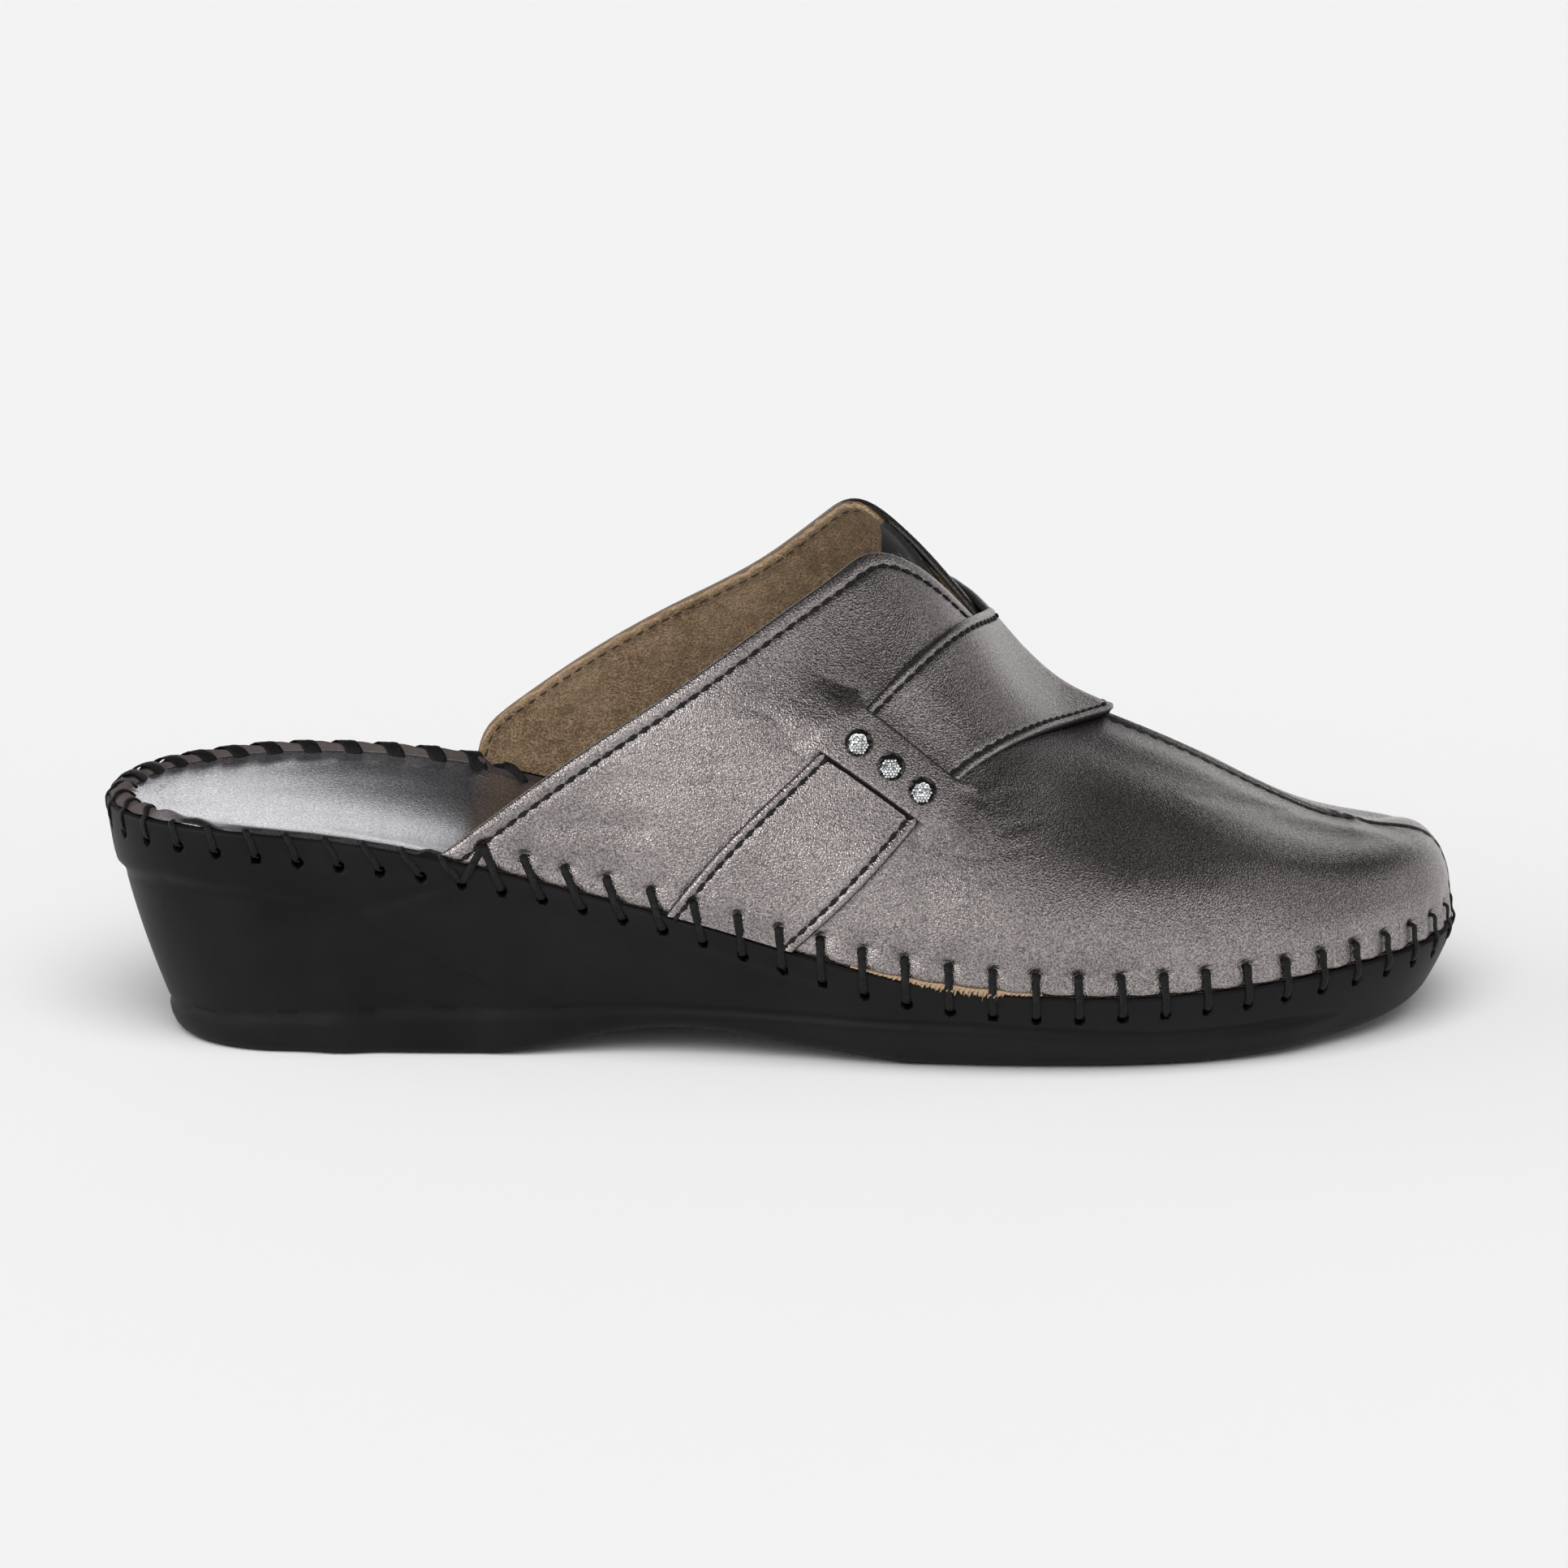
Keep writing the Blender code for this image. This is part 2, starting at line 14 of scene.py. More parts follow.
import bmesh
import bpy
import numpy as np
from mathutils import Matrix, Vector

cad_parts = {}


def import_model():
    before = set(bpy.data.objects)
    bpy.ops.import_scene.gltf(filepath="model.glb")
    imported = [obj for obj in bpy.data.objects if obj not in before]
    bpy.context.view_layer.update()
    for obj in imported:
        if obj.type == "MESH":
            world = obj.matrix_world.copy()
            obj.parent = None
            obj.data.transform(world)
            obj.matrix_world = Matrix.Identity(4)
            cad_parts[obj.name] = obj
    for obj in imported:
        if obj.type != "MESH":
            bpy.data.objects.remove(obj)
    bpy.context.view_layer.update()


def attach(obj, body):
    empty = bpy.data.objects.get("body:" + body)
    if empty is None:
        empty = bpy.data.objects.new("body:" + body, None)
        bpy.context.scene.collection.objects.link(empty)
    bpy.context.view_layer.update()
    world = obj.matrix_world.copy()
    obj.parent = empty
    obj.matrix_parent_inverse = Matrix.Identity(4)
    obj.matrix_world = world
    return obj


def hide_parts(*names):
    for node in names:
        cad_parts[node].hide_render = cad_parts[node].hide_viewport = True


LOG = logging.getLogger("slipper")
Array = np.ndarray
Faces = list[list[int]]
Pair = tuple[float, float]
Triple = tuple[float, float, float]
Colour = Triple
Material = bpy.types.Material
Mesh = bpy.types.Mesh
Node = bpy.types.Node
Object = bpy.types.Object
Output = bpy.types.NodeSocket

MM = 0.001
ROW_SHIFT = np.array([0.0, -1.478, 0.0])
NUDGE = 1e-3
WELD = 1e-6
BODY = "root"
SHARP_DEG = 50
STITCH_SIZES = ("Pitch", "Stitch Length", "Thread Width", "Thread Height", "Hole Width")


class Side(Enum):
    """Outer and inner side of the foot, with the sign of Y."""

    LATERAL = -1
    MEDIAL = 1


class Section(NamedTuple):
    """One section across the foot, as in the part: seam line, ridge, rib shape and underside."""

    x: float
    centre: float
    half_width: float
    seam_z: float
    arch_rise: float
    ridge_y: float
    ridge_z: float
    peak: float
    fullness: float
    ground_z: float
    tuck: float


SECTIONS = (
    Section(-126, -3.0, 32.5, 43.6, 0.0, 0.0, 128.0, 0, 2.00, 1.5, 11.6),
    Section(-108, -1.2, 32.6, 44.1, -1.2, 0.0, 128.0, 0, 2.00, -0.6, 7.2),
    Section(-90, -0.3, 32.8, 42.9, 0.2, 0.0, 127.5, 0, 2.00, -0.8, 4.8),
    Section(-70, -0.5, 33.1, 40.2, 2.0, 0.2, 126.5, 0, 2.00, -0.8, 4.4),
    Section(-50, -1.2, 33.4, 36.0, 3.2, 0.5, 125.0, 0, 2.00, 0.5, 5.2),
    Section(-30, -2.0, 33.8, 31.0, 3.2, 0.8, 121.5, 0, 2.00, 4.3, 7.0),
    Section(-15, -2.7, 35.2, 27.6, 2.6, 1.0, 117.0, 0, 2.00, 5.0, 8.0),
    Section(0, -2.8, 37.6, 23.6, 1.6, 1.2, 111.0, 0, 2.02, 3.0, 8.6),
    Section(14, -2.2, 40.6, 20.1, 0.8, 1.5, 102.0, 2, 2.05, 1.2, 9.0),
    Section(25, -1.6, 42.6, 18.2, 0.4, 1.8, 90.4, 8, 2.08, -0.3, 9.2),
    Section(37, -0.6, 44.6, 16.8, 0.1, 2.4, 75.9, 15, 2.10, -1.0, 9.2),
    Section(49, 0.4, 45.8, 15.8, 0.0, 3.2, 63.2, 17, 2.14, -1.2, 9.0),
    Section(61, 1.5, 46.2, 15.4, 0.0, 4.2, 56.6, 17, 2.20, -0.9, 8.6),
    Section(80, 3.8, 45.6, 15.7, 0.0, 6.2, 47.7, 17, 2.30, 0.2, 7.4),
    Section(92, 5.4, 44.8, 16.2, 0.0, 7.4, 40.9, 17, 2.40, 0.9, 6.4),
    Section(104, 7.2, 43.6, 16.8, 0.0, 8.6, 36.0, 16, 2.55, 1.9, 5.6),
    Section(116, 8.8, 42.6, 17.3, 0.0, 9.6, 34.4, 14, 2.85, 3.6, 5.0),
    Section(126, 10.0, 42.0, 17.4, 0.0, 10.4, 33.8, 12, 3.10, 6.2, 5.0),
)


class CollarRow(NamedTuple):
    """Back edge of the upper: a share of the rib's height, and its place along the foot on either side."""

    rise: float
    lateral: float
    medial: float


COLLAR = (
    CollarRow(0.00, -63.3, -58.6),
    CollarRow(0.05, -56.2, -56.6),
    CollarRow(0.10, -49.2, -50.6),
    CollarRow(0.20, -34.8, -36.6),
    CollarRow(0.30, -20.6, -22.0),
    CollarRow(0.40, -8.6, -8.4),
    CollarRow(0.50, 1.4, 0.9),
    CollarRow(0.60, 9.3, 7.6),
    CollarRow(0.70, 15.3, 13.2),
    CollarRow(0.80, 24.2, 21.2),
    CollarRow(0.90, 33.8, 30.8),
    CollarRow(1.00, 42.0, 42.0),
)


class StrapRow(NamedTuple):
    """Edges of the saddle strap at one rise, alike on both sides."""

    rise: float
    back: float
    front: float


STRAP = (
    StrapRow(0.00, -21.5, 1.8),
    StrapRow(0.10, -12.2, 12.6),
    StrapRow(0.20, -2.0, 21.0),
    StrapRow(0.30, 7.6, 27.4),
    StrapRow(0.40, 15.4, 33.0),
    StrapRow(0.50, 21.1, 38.2),
    StrapRow(0.60, 25.4, 42.8),
    StrapRow(0.80, 31.8, 50.8),
    StrapRow(0.90, 34.3, 55.4),
    StrapRow(1.00, 36.6, 61.0),
)


class EdgeRow(NamedTuple):
    """Edge of the footbed: inset from the seam line and height over it, rolled at the heel and plain."""

    step: float
    bead_inset: float
    bead_z: float
    low_z: float
    plain_inset: float
    plain_z: float


FOOTBED_EDGE = (
    EdgeRow(0, 3.9, -4.2, -4.2, 3.9, -4.2),
    EdgeRow(1, 3.9, -0.2, -0.6, 3.9, -2.4),
    EdgeRow(2, 0.8, -0.1, -0.3, 3.9, -1.2),
    EdgeRow(3, 0.4, 0.6, -0.25, 4.0, -0.3),
    EdgeRow(4, 1.2, 1.3, -0.15, 4.4, -0.05),
    EdgeRow(5, 2.5, 1.5, -0.2, 5.0, -0.3),
    EdgeRow(6, 3.7, 0.9, -0.3, 5.9, -0.8),
    EdgeRow(7, 4.8, -0.1, -0.4, 7.0, -1.3),
    EdgeRow(8, 8.8, -0.6, -0.6, 8.8, -1.9),
)


class SewRow(NamedTuple):
    """Sewing of the whip seam at one place along the foot: hole below the seam, and slant of the strand."""

    x: float
    depth: float
    lean: float


SEWING = (
    SewRow(-126, 4.0, 0.5),
    SewRow(-112, 4.2, 0.9),
    SewRow(-95, 4.8, 1.4),
    SewRow(-75, 4.5, 2.6),
    SewRow(-58, 3.7, 3.4),
    SewRow(-42, 3.1, 3.7),
    SewRow(-22, 3.1, 2.6),
    SewRow(-8, 3.8, 0.9),
    SewRow(15, 4.5, 0.6),
    SewRow(39, 4.8, 0.2),
    SewRow(63, 3.8, 0.5),
    SewRow(86, 3.3, 0.2),
    SewRow(126, 2.8, 0.0),
)


class ShoulderRow(NamedTuple):
    """Fullness of the vamp's outer side along the foot: its height, and the rise where it is most."""

    x: float
    height: float
    rise: float


SHOULDER = (
    ShoulderRow(26, 0.0, 0.14),
    ShoulderRow(36, 0.9, 0.15),
    ShoulderRow(44, 1.4, 0.17),
    ShoulderRow(52, 1.2, 0.20),
    ShoulderRow(60, 0.9, 0.28),
    ShoulderRow(68, 0.9, 0.36),
    ShoulderRow(76, 1.2, 0.42),
    ShoulderRow(85, 1.6, 0.47),
    ShoulderRow(95, 1.8, 0.52),
    ShoulderRow(107, 1.8, 0.55),
    ShoulderRow(114, 1.5, 0.56),
    ShoulderRow(126, 0.6, 0.56),
)


class Crease(NamedTuple):
    """Soft trough in the leather of the outer side: its line in place and rise, and its size."""

    line: tuple[Pair, ...]
    depth: float
    width: float


CREASES = (
    Crease(((10.2, 0.353), (2.9, 0.369), (-5.3, 0.357)), 0.13, 0.7),
    Crease(((7.9, 0.319), (-0.1, 0.323), (-8.9, 0.311)), 0.16, 0.8),
    Crease(((6.4, 0.289), (-2.4, 0.281), (-11.2, 0.263)), 0.12, 0.7),
    Crease(((5.0, 0.261), (-5.3, 0.238), (-14.2, 0.212)), 0.10, 0.8),
    Crease(((-2.4, 0.206), (-9.8, 0.200), (-17.1, 0.180)), 0.08, 1.0),
    Crease(((27.0, 0.279), (34.4, 0.335), (44.3, 0.477)), 0.05, 0.9),
    Crease(((25.6, 0.246), (34.4, 0.285), (44.9, 0.389)), 0.06, 1.0),
    Crease(((24.1, 0.214), (32.9, 0.236), (41.7, 0.301)), 0.06, 1.0),
    Crease(((30.8, 0.349), (36.7, 0.427), (43.6, 0.581)), 0.05, 0.9),
    Crease(((21.1, 0.178), (28.5, 0.180), (38.8, 0.220)), 0.06, 1.1),
    Crease(((11.7, 0.385), (9.4, 0.325)), 0.16, 3.4),
    Crease(((75.8, 0.725), (88.2, 0.828), (100.2, 0.902)), 0.08, 1.6),
    Crease(((-44.0, 0.075), (-36.0, 0.095), (-26.0, 0.105)), 0.16, 2.2),
    Crease(((-36.0, 0.130), (-28.0, 0.165), (-20.0, 0.175)), 0.10, 2.6),
)


class Relief(NamedTuple):
    """Moulded line on the wall of the sole: points in x and z, the step above it, groove and softness."""

    line: tuple[Pair, ...]
    step: float
    groove: float
    width: float


RELIEFS = (
    Relief(((-130, 30.6), (-122, 31.2), (-115, 32.4), (-99, 31.4), (-81, 28.3)), 1.3, 0.7, 0.9),
    Relief(((-81, 28.3), (-70, 31.4), (-60, 34.0)), 0.0, 0.6, 1.1),
    Relief(((-80, 27.4), (-63, 18.2), (-47, 9.8)), 1.3, 0.7, 1.2),
    Relief(((-49, 31.2), (-29, 25.5), (-10, 20.3), (12, 14.2)), 0.6, 0.3, 1.4),
    Relief(
        ((-130, 6.0), (-111, 6.4), (-70, 8.8), (-10, 9.6), (34, 9.4), (70, 7.0), (104, 7.6)),
        -1.0,
        0.7,
        0.9,
    ),
)


def ease(value: Array, low: float, high: float) -> Array:
    """Smooth step from 0 at low to 1 at high."""
    share = np.clip((np.asarray(value, float) - low) / (high - low), 0, 1)
    return share * share * (3 - 2 * share)


def swell(distance: Array, width: float) -> Array:
    """Bell of that width, 1 where the distance is 0."""
    return np.exp(-((np.asarray(distance, float) / width) ** 2))


def unit(vectors: Array) -> Array:
    """Vectors at length 1."""
    return vectors / np.maximum(np.linalg.norm(vectors, axis=-1, keepdims=True), 1e-12)


def edge_fall(distance: Array, radius: float) -> Array:
    """How far a rounded edge of that radius lies below the flat, at a distance from the edge."""
    inside = np.clip(radius - np.asarray(distance, float), 0, radius)
    return radius - np.sqrt(radius**2 - inside**2)


def lengths_along(points: Array) -> Array:
    """Distance from the first point along the last axis but one of a row of points."""
    steps = np.linalg.norm(np.diff(points, axis=-2), axis=-1)
    return np.concatenate([np.zeros((*steps.shape[:-1], 1)), np.cumsum(steps, axis=-1)], axis=-1)


def distance_to_line(points: Array, line: Array) -> Array:
    """Distance from each point to a line of straight pieces.

    Args:
        points: Points, with the coordinates on the last axis.
        line: Corner points of the line.

    Returns:
        The distance of every point.
    """
    nearest = np.full(points.shape[:-1], np.inf)
    for start, end in zip(line, line[1:]):
        run = end - start
        share = np.clip((points - start) @ run / (run @ run), 0, 1)
        nearest = np.minimum(nearest, np.linalg.norm(points - start - share[..., None] * run, axis=-1))
    return nearest


class Spline:
    """Natural cubic spline through values at rising places, held level outside them."""

    def __init__(self, places: Sequence[float], values: Sequence[float]) -> None:
        """Solves the bends at the places.

        Args:
            places: Where the values are given, rising.
            values: The values there.
        """
        self.places = np.array(places, float)
        self.values = np.array(values, float)
        self.steps = np.diff(self.places)
        slopes = np.diff(self.values) / self.steps
        matrix = np.eye(len(self.places))
        right = np.zeros(len(self.places))
        for i in range(1, len(self.places) - 1):
            before, after = self.steps[i - 1], self.steps[i]
            matrix[i, i - 1 : i + 2] = before, 2 * (before + after), after
            right[i] = 6 * (slopes[i] - slopes[i - 1])
        self.bends = np.linalg.solve(matrix, right)

    @classmethod
    def column(cls, rows: Sequence[NamedTuple], name: str) -> "Spline":
        """Spline through one column of a table, read against the table's first column."""
        return cls([row[0] for row in rows], [getattr(row, name) for row in rows])

    def __call__(self, at: Array) -> Array:
        """Value at one place or many.

        Args:
            at: The places.

        Returns:
            The value at each place.
        """
        at = np.clip(np.asarray(at, float), self.places[0], self.places[-1])
        i = np.clip(np.searchsorted(self.places, at) - 1, 0, len(self.steps) - 1)
        after, before, span = at - self.places[i], self.places[i + 1] - at, self.steps[i]
        cubic = (self.bends[i] * before**3 + self.bends[i + 1] * after**3) / (6 * span)
        low = (self.values[i] / span - self.bends[i] * span / 6) * before
        high = (self.values[i + 1] / span - self.bends[i + 1] * span / 6) * after
        return cubic + low + high


@dataclass
class Last:
    """The surface that the leather pieces are cut from, and the seam line around it."""

    length: float = 251.0
    heel_arc: float = 32.0
    toe_arc: float = 66.0
    toe_squareness: float = 2.35
    fan_start: float = 60.0
    fan_end: float = 108.0
    samples: int = 4001
    throat_fill: float = 2.2
    quarter_dip: float = 1.2
    shoulder_foot: float = 0.18
    shoulder_fall: float = 1.2
    ridge_fill: float = 0.7
    toe_fall: float = 1.2
    toe_ridge: float = 0.6
    curves: dict[str, Spline] = field(init=False)
    shoulder: dict[str, Spline] = field(init=False)
    seam_turns: Array = field(init=False)
    seam_run: Array = field(init=False)

    def __post_init__(self) -> None:
        """Reads the table of sections and measures the seam line once around."""
        self.curves = {name: Spline.column(SECTIONS, name) for name in Section._fields[1:]}
        self.shoulder = {name: Spline.column(SHOULDER, name) for name in ShoulderRow._fields[1:]}
        self.seam_turns = np.linspace(-1, 1, self.samples)
        self.seam_run = lengths_along(self.seam(self.seam_turns))

    def turn_at(self, x: Array) -> Array:
        """Turn of the seam line at a place along the foot: 0 at the toe tip, 1 at the back of the heel."""
        return np.arccos(np.clip(np.asarray(x, float) / (self.length / 2), -1, 1)) / math.pi

    def place_at(self, turn: Array) -> Array:
        """Place along the foot of a turn of the seam line."""
        return np.cos(math.pi * np.asarray(turn, float)) * self.length / 2

    def turn_of_run(self, run: Array) -> Array:
        """Turn at a distance along the seam line, from the back of the heel by way of the outer side."""
        return np.interp(np.mod(run, self.seam_run[-1]), self.seam_run, self.seam_turns)

    def run_of_turn(self, turn: Array) -> Array:
        """Distance along the seam line of a turn."""
        return np.interp((np.asarray(turn, float) + 1) % 2 - 1, self.seam_turns, self.seam_run)

    def seam(self, turn: Array) -> Array:
        """Seam line around the foot. Turns are negative on the outer side and positive on the inner side.

        Args:
            turn: Turns around the foot.

        Returns:
            Points in millimetres.
        """
        turn = (np.asarray(turn, float) + 1) % 2 - 1
        x = self.place_at(turn)
        side = np.where(turn < 0, Side.LATERAL.value, Side.MEDIAL.value)
        toe = np.clip((x - self.length / 2 + self.toe_arc) / self.toe_arc, 0, 1)
        heel = np.clip((self.heel_arc - self.length / 2 - x) / self.heel_arc, 0, 1)
        toe_round = np.maximum(1 - toe**self.toe_squareness, 0) ** (1 / self.toe_squareness)
        half = self.curves["half_width"](x) * toe_round * np.sqrt(1 - heel**2)
        height = self.curves["seam_z"](x) + self.curves["arch_rise"](x) * (side > 0)
        return np.stack([x, self.curves["centre"](x) + side * half, height], axis=-1)

    def outwards(self, turn: Array) -> Array:
        """Level direction away from the foot, square to the seam line."""
        along = self.seam(turn + NUDGE) - self.seam(turn - NUDGE)
        return unit(np.stack([along[..., 1], -along[..., 0], np.zeros_like(along[..., 0])], axis=-1))

    def inset(self, turn: Array, inset: Array) -> Array:
        """Seam line moved inwards in plan, square to itself, at the height of the seam."""
        return self.seam(turn) - self.outwards(turn) * np.asarray(inset, float)[..., None]

    def point(self, turn: Array, rise: Array) -> Array:
        """Point on the rib of that turn: rise 0 is the seam line and rise 1 the ridge.

        Args:
            turn: Turns of the ribs.
            rise: Rises up them.

        Returns:
            Points in millimetres.
        """
        foot = self.seam(turn)
        reach_x = self.length / 2 - self.fan_start
        span = (foot[..., 0] - self.fan_start) / reach_x
        pull = reach_x / (self.fan_end - self.fan_start)
        fanned = self.fan_start + (self.fan_end - self.fan_start) * (1 - (1 - np.clip(span, 0, 1)) ** pull)
        top_x = np.where(span > 0, fanned, foot[..., 0])
        power = 2 / self.curves["fullness"](foot[..., 0])
        angle = np.clip(np.asarray(rise, float), 0, 1) * math.pi / 2
        out = np.cos(angle) ** power
        up = np.sin(angle) ** power
        x = top_x + (foot[..., 0] - top_x) * out
        top_y = self.curves["ridge_y"](top_x)
        y = top_y + (foot[..., 1] - top_y) * out
        z = foot[..., 2] + (self.curves["ridge_z"](x) - foot[..., 2]) * up
        reach = np.hypot(foot[..., 0] - top_x, foot[..., 1] - top_y)
        z -= np.tan(np.radians(self.curves["peak"](x))) * reach * out * (1 - out) ** 2
        return np.stack([x, y, z], axis=-1)

    def normal(self, turn: Array, rise: Array) -> Array:
        """Outward direction of the surface. On the ridge both sides share one.

        Args:
            turn: Turns of the ribs.
            rise: Rises up them.

        Returns:
            Directions of length 1.
        """
        turn, rise = np.broadcast_arrays(np.asarray(turn, float), np.asarray(rise, float))
        facing = self.side_normal(turn, rise)
        return unit(facing + np.where((rise >= 1)[..., None], self.side_normal(-turn, rise), 0))

    def side_normal(self, turn: Array, rise: Array) -> Array:
        """Outward direction of one side's surface.

        Args:
            turn: Turns of the ribs.
            rise: Rises up them.

        Returns:
            Directions of length 1.
        """
        along = self.point(turn - NUDGE, rise) - self.point(turn + NUDGE, rise)
        above = self.point(turn, np.minimum(rise + NUDGE, 1))
        return unit(np.cross(above - self.point(turn, np.maximum(rise - NUDGE, 0)), along))

    def form(self, turn: Array, rise: Array) -> Array:
        """Height that the worn-in form adds to the last: a full vamp shoulder and a filled-out throat.

        Args:
            turn: Turns of the ribs.
            rise: Rises up them.

        Returns:
            Heights in millimetres.
        """
        x = self.place_at(turn)
        centre = self.shoulder["rise"](x)
        below = swell(np.minimum(rise - centre, 0), self.shoulder_foot) * ease(rise, 0.0, 0.09)
        above = 1 - (np.clip(rise - centre, 0, 1) / (1 - centre)) ** self.shoulder_fall
        outer = np.where(np.asarray(turn) < 0, 1.0, ease(x, 120, 125.4))
        vamp = self.shoulder["height"](x) * below * above * outer
        throat = self.throat_fill * swell(rise - 0.80, 0.26) - self.quarter_dip * swell(rise - 0.44, 0.15)
        throat = throat * np.where(np.asarray(turn) > 0, 1 - 0.85 * ease(rise, 0.62, 0.82), 1.0)
        outer_side = np.where(np.asarray(turn) < 0, ease(x, 50, 62) * (1 - ease(x, 112, 122)), 0.0)
        vamp = vamp + self.ridge_fill * outer_side * swell(rise - 0.89, 0.075)
        toe = ease(x, 80, 100) * (1 - ease(x, 119, 125))
        inner = np.where(np.asarray(turn) > 0, self.toe_fall, 0.0) * swell(rise - 0.80, 0.16)
        ridge = self.toe_ridge * swell(rise - 1, 0.35)
        return vamp + throat * ease(x, -12, 12) * (1 - ease(x, 22, 44)) + toe * (ridge - inner)

    def offset(self, turn: Array, rise: Array, distance: Array | float) -> Array:
        """Point moved outwards from the surface, over its form.

        Args:
            turn: Turns of the ribs.
            rise: Rises up them.
            distance: How far outwards.

        Returns:
            Points in millimetres.
        """
        turn, rise = np.asarray(turn, float), np.asarray(rise, float)
        height = distance + self.form(turn, rise)
        return self.point(turn, rise) + self.normal(turn, rise) * height[..., None]

    def rise_at(self, turn: Array, reach: Array) -> Array:
        """Rise at a distance up the rib from the seam line.

        Args:
            turn: Turns of the ribs.
            reach: Distance up each rib.

        Returns:
            The rise of each point.
        """
        rises = np.linspace(0, 0.6, 301)
        turns = np.atleast_1d(turn)
        runs = lengths_along(self.point(turns[:, None], rises[None, :]))
        reaches = np.broadcast_to(reach, turns.shape)
        return np.array([np.interp(far, run, rises) for far, run in zip(reaches, runs)])

    @staticmethod
    def spread(count: int, end: float, centres: Array, width: float, gain: float) -> Array:
        """Distances along the seam line from 0, closer together around some centres.

        Args:
            count: How many distances.
            end: Last distance.
            centres: Where they crowd.
            width: How far a crowd reaches.
            gain: How much closer they lie there.

        Returns:
            Rising distances from 0 to the end.
        """
        fine = np.linspace(0, end, 8 * count)
        crowd = 1 + gain * swell(fine[:, None] - centres[None, :], width).sum(axis=1)
        total = np.concatenate([[0], np.cumsum((crowd[1:] + crowd[:-1]) / 2)])
        return np.interp(np.linspace(0, total[-1], count), total, fine)


def to_row(points: Array) -> Array:
    """Millimetres on the last as metres in the shared frame."""
    return (np.asarray(points, float) + ROW_SHIFT) * MM


def quads(index: Array, wrap: bool = False) -> Faces:
    """Four-sided faces of a grid of point numbers, closed along its second axis if it wraps.

    Args:
        index: Point numbers by row and column.
        wrap: Whether the columns close into a ring.

    Returns:
        The corners of each face.
    """
    grid = np.concatenate([index, index[:, :1]], axis=1) if wrap else index
    corners = [grid[:-1, :-1], grid[:-1, 1:], grid[1:, 1:], grid[1:, :-1]]
    return np.stack(corners, axis=-1).reshape(-1, 4).tolist()


def thinned(count: int, step: int) -> list[int]:
    """Every so many of the numbers below count, the same from both ends, with the last one."""
    half = list(range(0, (count + 1) // 2, step))
    return sorted(set(half + [count - 1 - i for i in half]))


def grid_normals(grid: Array) -> Array:
    """Direction square to closed rings of points, to the left of each ring as it advances."""
    across = np.roll(grid, -1, axis=1) - np.roll(grid, 1, axis=1)
    return unit(np.cross(across, np.gradient(grid, axis=0)))


def over_ridge(half: Array) -> tuple[Array, Array]:
    """Sides and rises of rows from the outer seam over the ridge to the inner seam."""
    sides = np.concatenate([np.full(len(half), -1.0), np.full(len(half) - 1, 1.0)])
    return sides, np.concatenate([half, half[-2::-1]])


def fold_front(face: Array) -> None:
    """Lays the inner half of a grid's last column onto its outer half."""
    middle = len(face) // 2
    face[middle + 1 :, -1] = face[middle - 1 :: -1, -1]


class Body(NamedTuple):
    """Points and faces of a closed piece before it becomes a mesh."""

    points: Array
    faces: Faces


def closed_sheet(outer: Array, inner: Array, step: int, folded: bool = False) -> Body:
    """Closed body between a fine outer grid and an inner grid that is thinned.

    Args:
        outer: Points of the outer face.
        inner: Points of the inner face, as many.
        step: Every so many points of the inner face are kept.
        folded: Whether the last column folds onto itself and is welded.

    Returns:
        The points, outer ones first, and the faces.
    """
    rows, columns = outer.shape[:2]
    kept_rows, kept_columns = thinned(rows, step), thinned(columns, step)
    top = np.arange(rows * columns).reshape(rows, columns)
    low = rows * columns + np.arange(len(kept_rows) * len(kept_columns)).reshape(len(kept_rows), -1)
    points = np.concatenate([outer.reshape(-1, 3), inner[np.ix_(kept_rows, kept_columns)].reshape(-1, 3)])
    faces = quads(top) + quads(low[::-1])
    borders = [(top[:, 0], low[:, 0], kept_rows)]
    borders += [(top[row], low[row], kept_columns) for row in (0, -1)]
    if not folded:
        borders.append((top[:, -1], low[:, -1], kept_rows))
    for fine, coarse, kept in borders:
        for k, (first, last) in enumerate(zip(kept, kept[1:])):
            faces.append([int(coarse[k]), *fine[first : last + 1].tolist(), int(coarse[k + 1])])
    return Body(points, faces)


def inner_marks(outer: Array, step: int, inner: Array | float) -> Array:
    """Marks of a closed sheet: those of its outer grid, then those of the inner face.

    Args:
        outer: Marks of the outer grid.
        step: Every so many points of the inner face are kept.
        inner: Marks of the inner face, or one for all of it.

    Returns:
        One mark for each point of the sheet.
    """
    rows, columns = outer.shape
    kept = np.ix_(thinned(rows, step), thinned(columns, step))
    return np.concatenate([outer.ravel(), np.broadcast_to(inner, outer.shape)[kept].ravel()])


